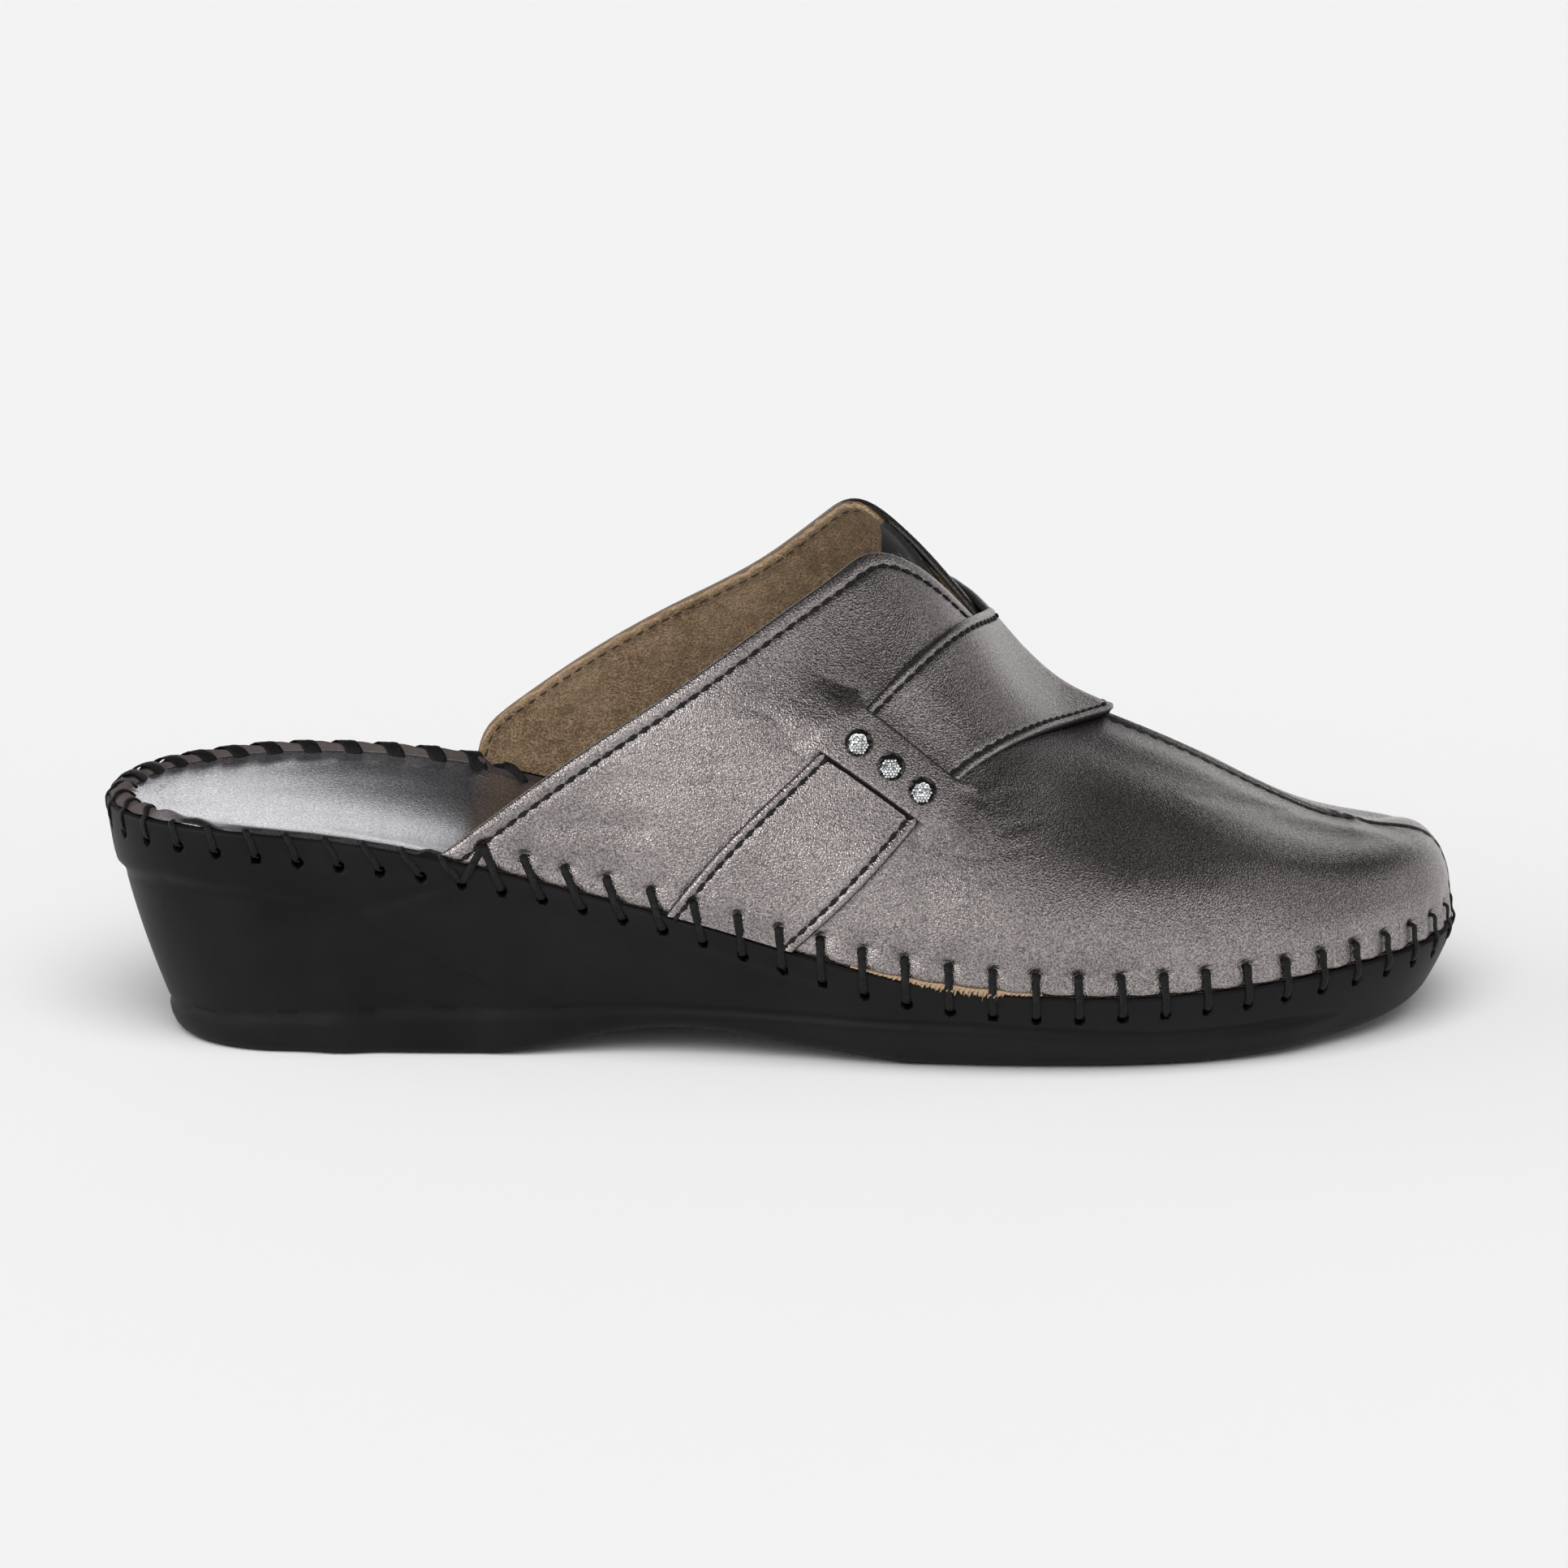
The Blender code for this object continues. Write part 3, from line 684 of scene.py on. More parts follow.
def ringed_body(rings: Array, fills: Sequence[tuple[int, Callable[[Array, Array], Array]]]) -> Body:
    """Closed body of stacked rings with a ladder of faces across its bottom and its top.

    Args:
        rings: Points by ring and place around it, from the back of the heel by way of the outer side.
        fills: For bottom and top, the columns of the ladder and the height of its points.

    Returns:
        The points, ring by ring and then the ladders, and the faces.
    """
    levels, count = rings.shape[:2]
    index = np.arange(levels * count).reshape(levels, count)
    points = [rings.reshape(-1, 3)]
    faces = quads(index, wrap=True)
    total = levels * count
    for ring_index, ring, (columns, height) in zip((index[0], index[-1]), (rings[0], rings[-1]), fills):
        outer, inner = np.arange(1, count // 2), count - np.arange(1, count // 2)
        shares = np.arange(1, columns) / columns
        rungs = ring[outer, None] + (ring[inner, None] - ring[outer, None]) * shares[None, :, None]
        rungs[..., 2] = height(rungs, np.broadcast_to(shares, rungs.shape[:2]))
        middle = total + np.arange(rungs[..., 0].size).reshape(rungs.shape[:2])
        ladder = np.concatenate([ring_index[outer, None], middle, ring_index[inner, None]], axis=1)
        faces += quads(ladder)
        for tip, rung in ((ring_index[0], ladder[0]), (ring_index[count // 2], ladder[-1])):
            faces += [[int(tip), int(a), int(b)] for a, b in zip(rung, rung[1:])]
        points.append(rungs.reshape(-1, 3))
        total += middle.size
    return Body(np.concatenate(points), faces)


def make_object(name: str, data: bpy.types.ID) -> Object:
    """Object at the origin for a mesh, a light or a camera, in the scene.

    Args:
        name: Its name.
        data: What it shows.

    Returns:
        The object.
    """
    made = bpy.data.objects.new(name, data)
    bpy.context.scene.collection.objects.link(made)
    return made


def apply_modifiers(item: Object) -> None:
    """Makes an object's evaluated shape its own mesh and drops its modifiers.

    Args:
        item: The object.
    """
    bpy.context.view_layer.update()
    graph = bpy.context.evaluated_depsgraph_get()
    item.data = bpy.data.meshes.new_from_object(item.evaluated_get(graph))
    item.modifiers.clear()
    item.data.name = item.name


def make_piece(name: str, body: Body, material: Material, marks: dict[str, Array] | None = None) -> Object:
    """Mesh object of a closed body, with doubles merged and faces turned outwards.

    Args:
        name: Name of the piece.
        body: Its points on the last and its faces.
        material: Its finish.
        marks: Values for each point that the finish reads.

    Returns:
        The object.
    """
    mesh = bpy.data.meshes.new(name)
    mesh.from_pydata(to_row(body.points).tolist(), [], body.faces)
    for mark, values in (marks or {}).items():
        padded = np.zeros(len(body.points), np.float32)
        padded[: len(values)] = values
        mesh.attributes.new(mark, "FLOAT", "POINT").data.foreach_set("value", padded)
    work = bmesh.new()
    work.from_mesh(mesh)
    bmesh.ops.remove_doubles(work, verts=work.verts, dist=WELD)
    bmesh.ops.recalc_face_normals(work, faces=work.faces)
    work.to_mesh(mesh)
    work.free()
    mesh.shade_smooth()
    mesh.set_sharp_from_angle(angle=math.radians(SHARP_DEG))
    mesh.materials.append(material)
    return make_object(name, mesh)


def declare(piece: Object, nodes: Sequence[str] = ()) -> Object:
    """Says what a finished piece rides on and what it stands for.

    Args:
        piece: The piece.
        nodes: CAD nodes that it stands for.

    Returns:
        The piece.
    """
    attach(piece, BODY)
    if nodes:
        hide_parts(*nodes)
    LOG.info("%s: %d faces", piece.name, len(piece.data.polygons))
    return piece


class Graph:
    """Adds nodes to a tree and feeds their inputs with values or with other nodes' outputs."""

    def __init__(self, tree: bpy.types.NodeTree) -> None:
        """Works on one tree."""
        self.tree = tree

    def feed(self, node: Node, inputs: dict) -> Node:
        """Gives a node's inputs, by name or number, their values or the outputs that they read.

        Args:
            node: The node.
            inputs: Values or outputs by the input's name or number.

        Returns:
            The node.
        """
        for name, value in inputs.items():
            if isinstance(value, Output):
                self.tree.links.new(value, node.inputs[name])
            else:
                node.inputs[name].default_value = value
        return node

    def add(self, kind: str, inputs: dict | None = None, **settings: object) -> Node:
        """Adds one node.

        Args:
            kind: Blender's name of the node.
            inputs: Values or outputs by the input's name or number.
            **settings: The node's own options.

        Returns:
            The node.
        """
        node = self.tree.nodes.new(kind)
        for name, value in settings.items():
            setattr(node, name, value)
        return self.feed(node, inputs or {})

    def out(self, kind: str, inputs: dict | None = None, **settings: object) -> Output:
        """First output of a new node."""
        return self.add(kind, inputs, **settings).outputs[0]

    def math(self, operation: str, first: object, second: object = 0.0, third: object = 0.0) -> Output:
        """Output of one sum on values or outputs."""
        return self.out("ShaderNodeMath", {0: first, 1: second, 2: third}, operation=operation)

    def mix(self, factor: Output, first: object, second: object) -> Output:
        """Value between two values or outputs."""
        return self.out("ShaderNodeMix", {0: factor, 2: first, 3: second})

    def remap(
        self, value: Output, low: float, high: float, to_low: float = 0.0, to_high: float = 1.0
    ) -> Output:
        """Value stretched from one range to another and held inside it."""
        inputs = {"Value": value, "From Min": low, "From Max": high, "To Min": to_low, "To Max": to_high}
        return self.out("ShaderNodeMapRange", inputs)


def solid(colour: Colour) -> tuple[float, float, float, float]:
    """Colour with full alpha."""
    return (*colour, 1.0)


class Surface(Graph):
    """Material in the making, with the nodes that feed its main shader."""

    def __init__(self, name: str) -> None:
        """Makes the material and reads the object's own coordinates.

        Args:
            name: Name of the material.
        """
        self.material = bpy.data.materials.new(name)
        self.material.use_nodes = True
        super().__init__(self.material.node_tree)
        self.coords = self.add("ShaderNodeTexCoord").outputs["Object"]

    def noise(
        self, scale: float, detail: float = 2.0, roughness: float = 0.5, at: Output | None = None
    ) -> Output:
        """Cloudy values around one half, at the object's coordinates or at others.

        Args:
            scale: How fine the clouds are.
            detail: How many finer layers lie on them.
            roughness: How strong those layers are.
            at: Other coordinates.

        Returns:
            The values.
        """
        vector = self.coords if at is None else at
        inputs = {"Vector": vector, "Scale": scale, "Detail": detail, "Roughness": roughness}
        return self.out("ShaderNodeTexNoise", inputs)

    def mark(self, name: str) -> Output:
        """Value that the mesh carries at each point."""
        return self.add("ShaderNodeAttribute", attribute_name=name).outputs["Fac"]

    def blend(self, factor: Output, first: Output | Colour, second: Colour) -> Output:
        """Colour on the way from a colour or a colour output to another colour.

        Args:
            factor: 0 for the first, 1 for the second.
            first: First colour.
            second: Second colour.

        Returns:
            The colour.
        """
        start = first if isinstance(first, Output) else solid(first)
        inputs = {0: factor, 6: start, 7: solid(second)}
        return self.add("ShaderNodeMix", inputs, data_type="RGBA").outputs[2]

    def bump(self, height: Output, distance: float, strength: float = 1.0, **under: Output) -> Output:
        """Facing of a surface that a height raises, over another facing where one is given."""
        inputs = {"Strength": strength, "Distance": distance, "Height": height}
        return self.out("ShaderNodeBump", {**inputs, **under})

    def finish(self, inputs: dict) -> Material:
        """Feeds the main shader and hands the material over."""
        self.feed(self.tree.nodes["Principled BSDF"], inputs)
        return self.material


@dataclass(frozen=True)
class LeatherFinish:
    """Metallic-coated leather: pebbled grain, cloudy tone, fine wrinkles with painted shade along them, and
    marks for dark holes and edges, painted shade and raw cuts.
    """

    name: str
    shade: Colour
    bright: Colour
    metallic: float = 0.95
    roughness: float = 0.25
    grain: float = 3000.0
    grain_depth: float = 0.00007
    wrinkle_scale: Triple = (420.0, 420.0, 1500.0)
    wrinkle_turn: Triple = (0.0, 0.35, 0.0)
    wrinkle_depth: float = 0.00003
    raw: Colour = (0.26, 0.18, 0.115)
    # Colour of stitch holes, dark edges and painted shade.
    black: Colour = (0.006, 0.006, 0.006)

    def material(self) -> Material:
        """Builds the material. Dark holes and edges, deep painted shade and raw cuts lose the coat's metal
        and its shine.

        Returns:
            The material.
        """
        surface = Surface(self.name)
        speck = surface.noise(self.grain, 2.0, 0.65)
        cloud = surface.noise(55.0, 3.0, 0.55)
        mixed = surface.math("MULTIPLY_ADD", cloud, 0.15, speck)
        tone = surface.blend(surface.remap(mixed, 0.43, 0.72), self.shade, self.bright)
        inputs = {"Vector": surface.coords, "Scale": self.wrinkle_scale, "Rotation": self.wrinkle_turn}
        folded = surface.noise(1.0, 3.0, 0.6, surface.out("ShaderNodeMapping", inputs))
        fold = surface.math("ABSOLUTE", surface.math("SUBTRACT", folded, 0.5))
        wrinkle, raw, pit = (surface.mark(name) for name in ("wrinkle", "raw", "pit"))
        # Painted shade: wrinkle lines are darkened where the leather is drawn.
        line = surface.math("MULTIPLY", surface.remap(fold, 0.0, 0.05, 0.55, 0.0), wrinkle)
        # Blends in the painted shade of the lines, the tan of raw cuts, and black for holes, dark edges and
        # painted shade.
        for factor, colour in ((line, self.black), (raw, self.raw), (pit, self.black)):
            tone = surface.blend(factor, tone, colour)
        inputs = {"Vector": surface.coords, "Scale": self.grain}
        cells = surface.add("ShaderNodeTexVoronoi", inputs, feature="F1")
        height = surface.math("ADD", cells.outputs["Distance"], surface.math("MULTIPLY", speck, 0.5))
        folds = surface.math("MULTIPLY", surface.remap(folded, 0.38, 0.62), wrinkle)
        rough = surface.remap(cloud, 0.25, 0.75, self.roughness - 0.04, self.roughness + 0.05)
        # Holes, dark edges and deep painted shade lose the metal, as raw cuts do.
        dull = surface.remap(surface.math("MAXIMUM", raw, pit), 0.65, 0.9)
        sockets = {
            "Base Color": tone,
            "Roughness": surface.math("MULTIPLY_ADD", dull, 0.4, rough),
            "Metallic": surface.remap(dull, 0.0, 1.0, self.metallic, 0.0),
            "Specular IOR Level": surface.remap(dull, 0.0, 1.0, 0.5, 0.02),
            "Normal": surface.bump(folds, self.wrinkle_depth, Normal=surface.bump(height, self.grain_depth)),
        }
        return surface.finish(sockets)


@dataclass(frozen=True)
class SuedeFinish:
    """Napped flesh side of leather, lighter and looser at its cut edges."""

    name: str = "tan_suede"
    deep: Colour = (0.115, 0.075, 0.043)
    tone: Colour = (0.37, 0.252, 0.155)
    pale: Colour = (0.46, 0.335, 0.22)
    sheen: Colour = (0.75, 0.6, 0.45)

    def material(self) -> Material:
        """Builds the material.

        Returns:
            The material.
        """
        surface = Surface(self.name)
        nap = surface.noise(2400.0, 2.0, 0.7)
        fleck = surface.noise(420.0, 3.0, 0.65)
        tone = surface.blend(surface.remap(nap, 0.38, 0.62), self.deep, self.tone)
        tone = surface.blend(surface.remap(fleck, 0.36, 0.6, 0.65, 0.0), tone, self.deep)
        tone = surface.blend(surface.remap(surface.noise(90.0), 0.45, 0.75, 0.0, 0.3), tone, self.pale)
        sockets = {
            "Base Color": surface.blend(surface.mark("raw"), tone, self.pale),
            "Normal": surface.bump(nap, 0.0004),
            "Roughness": 0.95,
            "Specular IOR Level": 0.15,
            "Sheen Weight": 0.35,
            "Sheen Roughness": 0.5,
            "Sheen Tint": solid(self.sheen),
        }
        return surface.finish(sockets)


@dataclass(frozen=True)
class MouldedFinish:
    """Satin black moulded sole with a faint bloom, and painted shade in its stitch holes, at the rim's inner
    edge and in the tray.
    """

    name: str = "black_moulded_sole"
    deep: Colour = (0.0058, 0.0054, 0.0060)
    bloom: Colour = (0.0105, 0.0100, 0.0108)
    # Colour of the painted shade in the holes, at the rim's inner edge and in the tray.
    hole: Colour = (0.0008, 0.0008, 0.0008)
    roughness: float = 0.46
    specular: float = 0.11

    def material(self) -> Material:
        """Builds the material.

        Returns:
            The material.
        """
        surface = Surface(self.name)
        cloud = surface.noise(38.0, 4.0, 0.6)
        pit = surface.mark("pit")
        tone = surface.blend(surface.remap(cloud, 0.35, 0.7), self.deep, self.bloom)
        sockets = {
            "Base Color": surface.blend(pit, tone, self.hole),
            "Roughness": surface.remap(cloud, 0.3, 0.7, self.roughness - 0.04, self.roughness + 0.08),
            "Specular IOR Level": surface.remap(pit, 0.0, 1.0, self.specular, 0.0),
            "Normal": surface.bump(surface.noise(2600.0, 2.0, 0.6), 0.00005, 0.6),
        }
        return surface.finish(sockets)


@dataclass(frozen=True)
class FibreFinish:
    """Thread or woven elastic whose fibres catch a little light."""

    name: str
    deep: Colour = (0.003, 0.003, 0.003)
    lit: Colour = (0.012, 0.012, 0.012)
    roughness: float = 0.6
    specular: float = 0.2
    sheen: float = 0.0
    scale: float = 2400.0
    detail: float = 3.0
    tangle: float = 0.7
    relief: float = 0.00012

    def material(self) -> Material:
        """Builds the material.

        Returns:
            The material.
        """
        surface = Surface(self.name)
        fibre = surface.noise(self.scale, self.detail, self.tangle)
        sockets = {
            "Base Color": surface.blend(surface.remap(fibre, 0.35, 0.65), self.deep, self.lit),
            "Normal": surface.bump(fibre, self.relief, 0.8),
            "Roughness": self.roughness,
            "Specular IOR Level": self.specular,
            "Sheen Weight": self.sheen,
        }
        return surface.finish(sockets)


@dataclass(frozen=True)
class CrystalFinish:
    """Mirror-backed cut glass, a little different from stone to stone."""

    name: str = "mirror_backed_crystal"
    dim: Colour = (0.72, 0.73, 0.74)
    lit: Colour = (0.95, 0.96, 0.97)

    def material(self) -> Material:
        """Builds the material.

        Returns:
            The material.
        """
        surface = Surface(self.name)
        spark = surface.noise(2600.0, 0.0)
        sockets = {
            "Base Color": surface.blend(surface.remap(spark, 0.4, 0.6), self.dim, self.lit),
            "Metallic": 0.9,
            "Roughness": 0.08,
            "Coat Weight": 0.6,
            "Coat Roughness": 0.03,
        }
        return surface.finish(sockets)


@dataclass(frozen=True)
class FloorFinish:
    """Pale seamless studio floor."""

    name: str = "pale_floor"
    colour: Colour = (0.78, 0.78, 0.78)

    def material(self) -> Material:
        """Builds the material.

        Returns:
            The material.
        """
        surface = Surface(self.name)
        sockets = {
            "Base Color": solid(self.colour),
            "Roughness": 0.9,
            "Specular IOR Level": 0.1,
            "Normal": surface.bump(surface.noise(300.0), 0.0002, 0.05),
        }
        return surface.finish(sockets)


class Lines:
    """Edges of many separate lines, with the direction that each point faces, for a node tree to work on."""

    def __init__(self) -> None:
        """Starts with no line."""
        self.points: list[Array] = []
        self.facings: list[Array] = []

    def add(self, points: Array, facing: Array) -> None:
        """Adds one line in millimetres on the last."""
        self.points.append(np.asarray(points, float))
        self.facings.append(unit(np.asarray(facing, float)))

    def make(self, name: str) -> Object:
        """Mesh object of the lines.

        Args:
            name: Its name.

        Returns:
            The object.
        """
        edges, start = [], 0
        for line in self.points:
            numbers = np.arange(start, start + len(line))
            edges += np.stack([numbers[:-1], numbers[1:]], axis=1).tolist()
            start += len(line)
        mesh = bpy.data.meshes.new(name)
        mesh.from_pydata(to_row(np.concatenate(self.points)).tolist(), edges, [])
        facing = mesh.attributes.new("facing", "FLOAT_VECTOR", "POINT")
        facing.data.foreach_set("vector", np.concatenate(self.facings).astype(np.float32).ravel())
        return make_object(name, mesh)


class Socket(Enum):
    """Kinds of input that a node tree offers."""

    LENGTH = "NodeSocketFloat"
    COUNT = "NodeSocketInt"
    MATERIAL = "NodeSocketMaterial"


class NodeTool:
    """Geometry Nodes tree with named inputs, run on lines and turned into a plain mesh."""

    def __init__(self, name: str, inputs: dict[str, Socket]) -> None:
        """Makes the tree and its inputs.

        Args:
            name: Name of the tree.
            inputs: Kind of each input by name.
        """
        self.tree = bpy.data.node_groups.new(name, "GeometryNodeTree")
        self.graph = Graph(self.tree)
        self.inputs = {**inputs, "Material": Socket.MATERIAL}
        for way in ("INPUT", "OUTPUT"):
            self.tree.interface.new_socket("Geometry", in_out=way, socket_type="NodeSocketGeometry")
        self.keys: dict[str, str] = {}
        for label, kind in self.inputs.items():
            made = self.tree.interface.new_socket(label, in_out="INPUT", socket_type=kind.value)
            self.keys[label] = made.identifier
        self.entry = self.graph.add("NodeGroupInput")

    def given(self, label: str) -> Output:
        """Output of the tree's input of that name."""
        return self.entry.outputs[label]

    def facing(self) -> Output:
        """Direction that each point of the given lines faces."""
        node = self.graph.add("GeometryNodeInputNamedAttribute", {"Name": "facing"}, data_type="FLOAT_VECTOR")
        return node.outputs["Attribute"]

    def close(self, geometry: Output, smooth: bool) -> None:
        """Ends the tree: real copies, shading, finish and output.

        Args:
            geometry: What the tree has made.
            smooth: Whether it is shaded smooth.
        """
        real = self.graph.out("GeometryNodeRealizeInstances", {"Geometry": geometry})
        shade = self.graph.out("GeometryNodeSetShadeSmooth", {"Geometry": real, "Shade Smooth": smooth})
        inputs = {"Geometry": shade, "Material": self.given("Material")}
        self.graph.add("NodeGroupOutput", {0: self.graph.out("GeometryNodeSetMaterial", inputs)})

    def run(self, name: str, lines: Lines, material: Material, sizes: dict[str, float]) -> Object:
        """Runs the tree on lines and keeps the result as a plain mesh.

        Args:
            name: Name of the piece.
            lines: Lines that the tree works on.
            material: Finish of the piece.
            sizes: Value of each input by name, with lengths in millimetres.

        Returns:
            The piece.
        """
        piece = lines.make(name)
        modifier = piece.modifiers.new(self.tree.name, "NODES")
        modifier.node_group = self.tree
        modifier[self.keys["Material"]] = material
        for label, value in sizes.items():
            modifier[self.keys[label]] = value * MM if self.inputs[label] is Socket.LENGTH else value
        apply_modifiers(piece)
        return piece


def stitch_row_tool() -> NodeTool:
    """Tree that lays rows of machine stitches along lines: each a thread and a round blob of dark thread at
    its hole, which also stands in for the hole's shade.

    Returns:
        The tree.
    """
    tool = NodeTool("machine_stitch_row", dict.fromkeys(STITCH_SIZES, Socket.LENGTH))
    graph = tool.graph
    pitch, length, width, height, hole = (tool.given(size) for size in STITCH_SIZES)
    curve = graph.out("GeometryNodeMeshToCurve", {0: tool.given("Geometry")})
    spaced = graph.out("GeometryNodeResampleCurve", {"Curve": curve, "Length": pitch}, mode="LENGTH")
    ball = graph.out("GeometryNodeMeshUVSphere", {"Segments": 8, "Rings": 6, "Radius": 0.5})
    stitch = graph.add("GeometryNodeJoinGeometry")
    for axes in ((length, width, height), (hole, hole, height)):
        size = graph.out("ShaderNodeCombineXYZ", dict(enumerate(axes)))
        shape = graph.out("GeometryNodeTransform", {"Geometry": ball, "Scale": size})
        graph.tree.links.new(shape, stitch.inputs[0])
    inputs = {"Vector": graph.out("GeometryNodeInputTangent")}
    along = graph.out("FunctionNodeAlignRotationToVector", inputs, axis="X")
    inputs = {"Rotation": along, "Vector": tool.facing()}
    turned = graph.out("FunctionNodeAlignRotationToVector", inputs, axis="Z", pivot_axis="X")
    inputs = {"Points": spaced, "Instance": stitch.outputs[0], "Rotation": turned}
    tool.close(graph.out("GeometryNodeInstanceOnPoints", inputs), smooth=True)
    return tool


def strand_tool() -> NodeTool:
    """Tree that sweeps a flat strand of thread along each line.

    Returns:
        The tree.
    """
    inputs = {"Width": Socket.LENGTH, "Thickness": Socket.LENGTH, "Sides": Socket.COUNT}
    tool = NodeTool("flat_strand", inputs)
    graph = tool.graph
    curve = graph.out("GeometryNodeMeshToCurve", {0: tool.given("Geometry")})
    faced = graph.out("GeometryNodeSetCurveNormal", {"Curve": curve, "Normal": tool.facing()}, mode="FREE")
    ring = graph.out("GeometryNodeCurvePrimitiveCircle", {"Resolution": tool.given("Sides"), "Radius": 0.5})
    size = graph.out("ShaderNodeCombineXYZ", {0: tool.given("Thickness"), 1: tool.given("Width"), 2: 1.0})
    profile = graph.out("GeometryNodeTransform", {"Geometry": ring, "Scale": size})
    inputs = {"Curve": faced, "Profile Curve": profile, "Fill Caps": True}
    tool.close(graph.out("GeometryNodeCurveToMesh", inputs), smooth=True)
    return tool


def stone_tool() -> NodeTool:
    """Tree that sets a small cut stone on each point, turned and tipped a little at random.

    Returns:
        The tree.
    """
    inputs = {"Girdle": Socket.LENGTH, "Height": Socket.LENGTH, "Seed": Socket.COUNT}
    tool = NodeTool("set_stones", inputs)
    graph = tool.graph
    table = graph.math("MULTIPLY", tool.given("Girdle"), 0.28)
    wide = graph.math("MULTIPLY", tool.given("Girdle"), 0.5)
    sizes = {"Vertices": 7, "Radius Top": table, "Radius Bottom": wide, "Depth": tool.given("Height")}
    stone = graph.out("GeometryNodeMeshCone", sizes)
    upright = graph.out("FunctionNodeAlignRotationToVector", {"Vector": tool.facing()}, axis="Z")
    inputs = {0: (-0.42, -0.42, -3.14), 1: (0.42, 0.42, 3.14), "Seed": tool.given("Seed")}
    tip = graph.out("FunctionNodeRandomValue", inputs, data_type="FLOAT_VECTOR")
    inputs = {"Rotation": upright, "Rotate By": graph.out("FunctionNodeEulerToRotation", {0: tip})}
    tipped = graph.out("FunctionNodeRotateRotation", inputs, rotation_space="LOCAL")
    inputs = {"Points": tool.given("Geometry"), "Instance": stone, "Rotation": tipped}
    tool.close(graph.out("GeometryNodeInstanceOnPoints", inputs), smooth=False)
    return tool


class Stitch(NamedTuple):
    """One strand of the whip seam: where it leaves the sole, crosses the rim and ends."""

    start: float
    cross: float
    end: float
    depth: float
    over_upper: bool


@dataclass
class Sewing:
    """The whip seam: places of its holes around the foot."""

    last: Last
    first: float = 0.9
    rear_pitch: float = 7.59
    front_pitch: float = 7.94
    pitch_change: float = -0.2
    upper_reach: float = 4.0
    open_top: float = 0.3
    lateral_corner: float = -55.0
    medial_corner: float = -51.0
    bead_slant: float = 3.4
    stitches: list[Stitch] = field(init=False)

    def __post_init__(self) -> None:
        """Walks once around the seam line, from hole to hole."""
        depth, lean = Spline.column(SEWING, "depth"), Spline.column(SEWING, "lean")
        self.stitches = []
        run = self.first
        while run < self.last.seam_run[-1] - self.rear_pitch / 2:
            turn = float(self.last.turn_of_run(run))
            x = float(self.last.place_at(turn))
            over = x > (self.lateral_corner if turn < 0 else self.medial_corner)
            slant = float(lean(x))
            end = run - slant if over else run - slant - self.bead_slant
            cross = run - slant * (0.45 if over else 0.9)
            self.stitches.append(Stitch(run, cross, end, float(depth(x)), over))
            run += self.rear_pitch if x < self.pitch_change else self.front_pitch

    def starts(self) -> Array:
        """Distances of the sole's holes along the seam line."""
        return np.array([stitch.start for stitch in self.stitches])

    def crossings(self) -> Array:
        """Distances along the seam line where the strands cross the rim."""
        return np.array([stitch.cross for stitch in self.stitches])

    def upper_ends(self) -> tuple[Array, Array]:
        """Turns and rises of the holes in the upper, whose tops stay open over the strands."""
        turns = self.last.turn_of_run(np.array([s.end for s in self.stitches if s.over_upper]))
        return turns, self.last.rise_at(turns, self.upper_reach + self.open_top)

    def slack(self, run: Array) -> Array:
        """0 under a strand and 1 half way between two of them, by the distance where they cross the rim."""
        gaps = np.abs(np.asarray(run, float)[..., None] - self.crossings())
        return np.sin(np.clip(gaps.min(axis=-1) / self.rear_pitch, 0, 0.5) * math.pi) ** 2


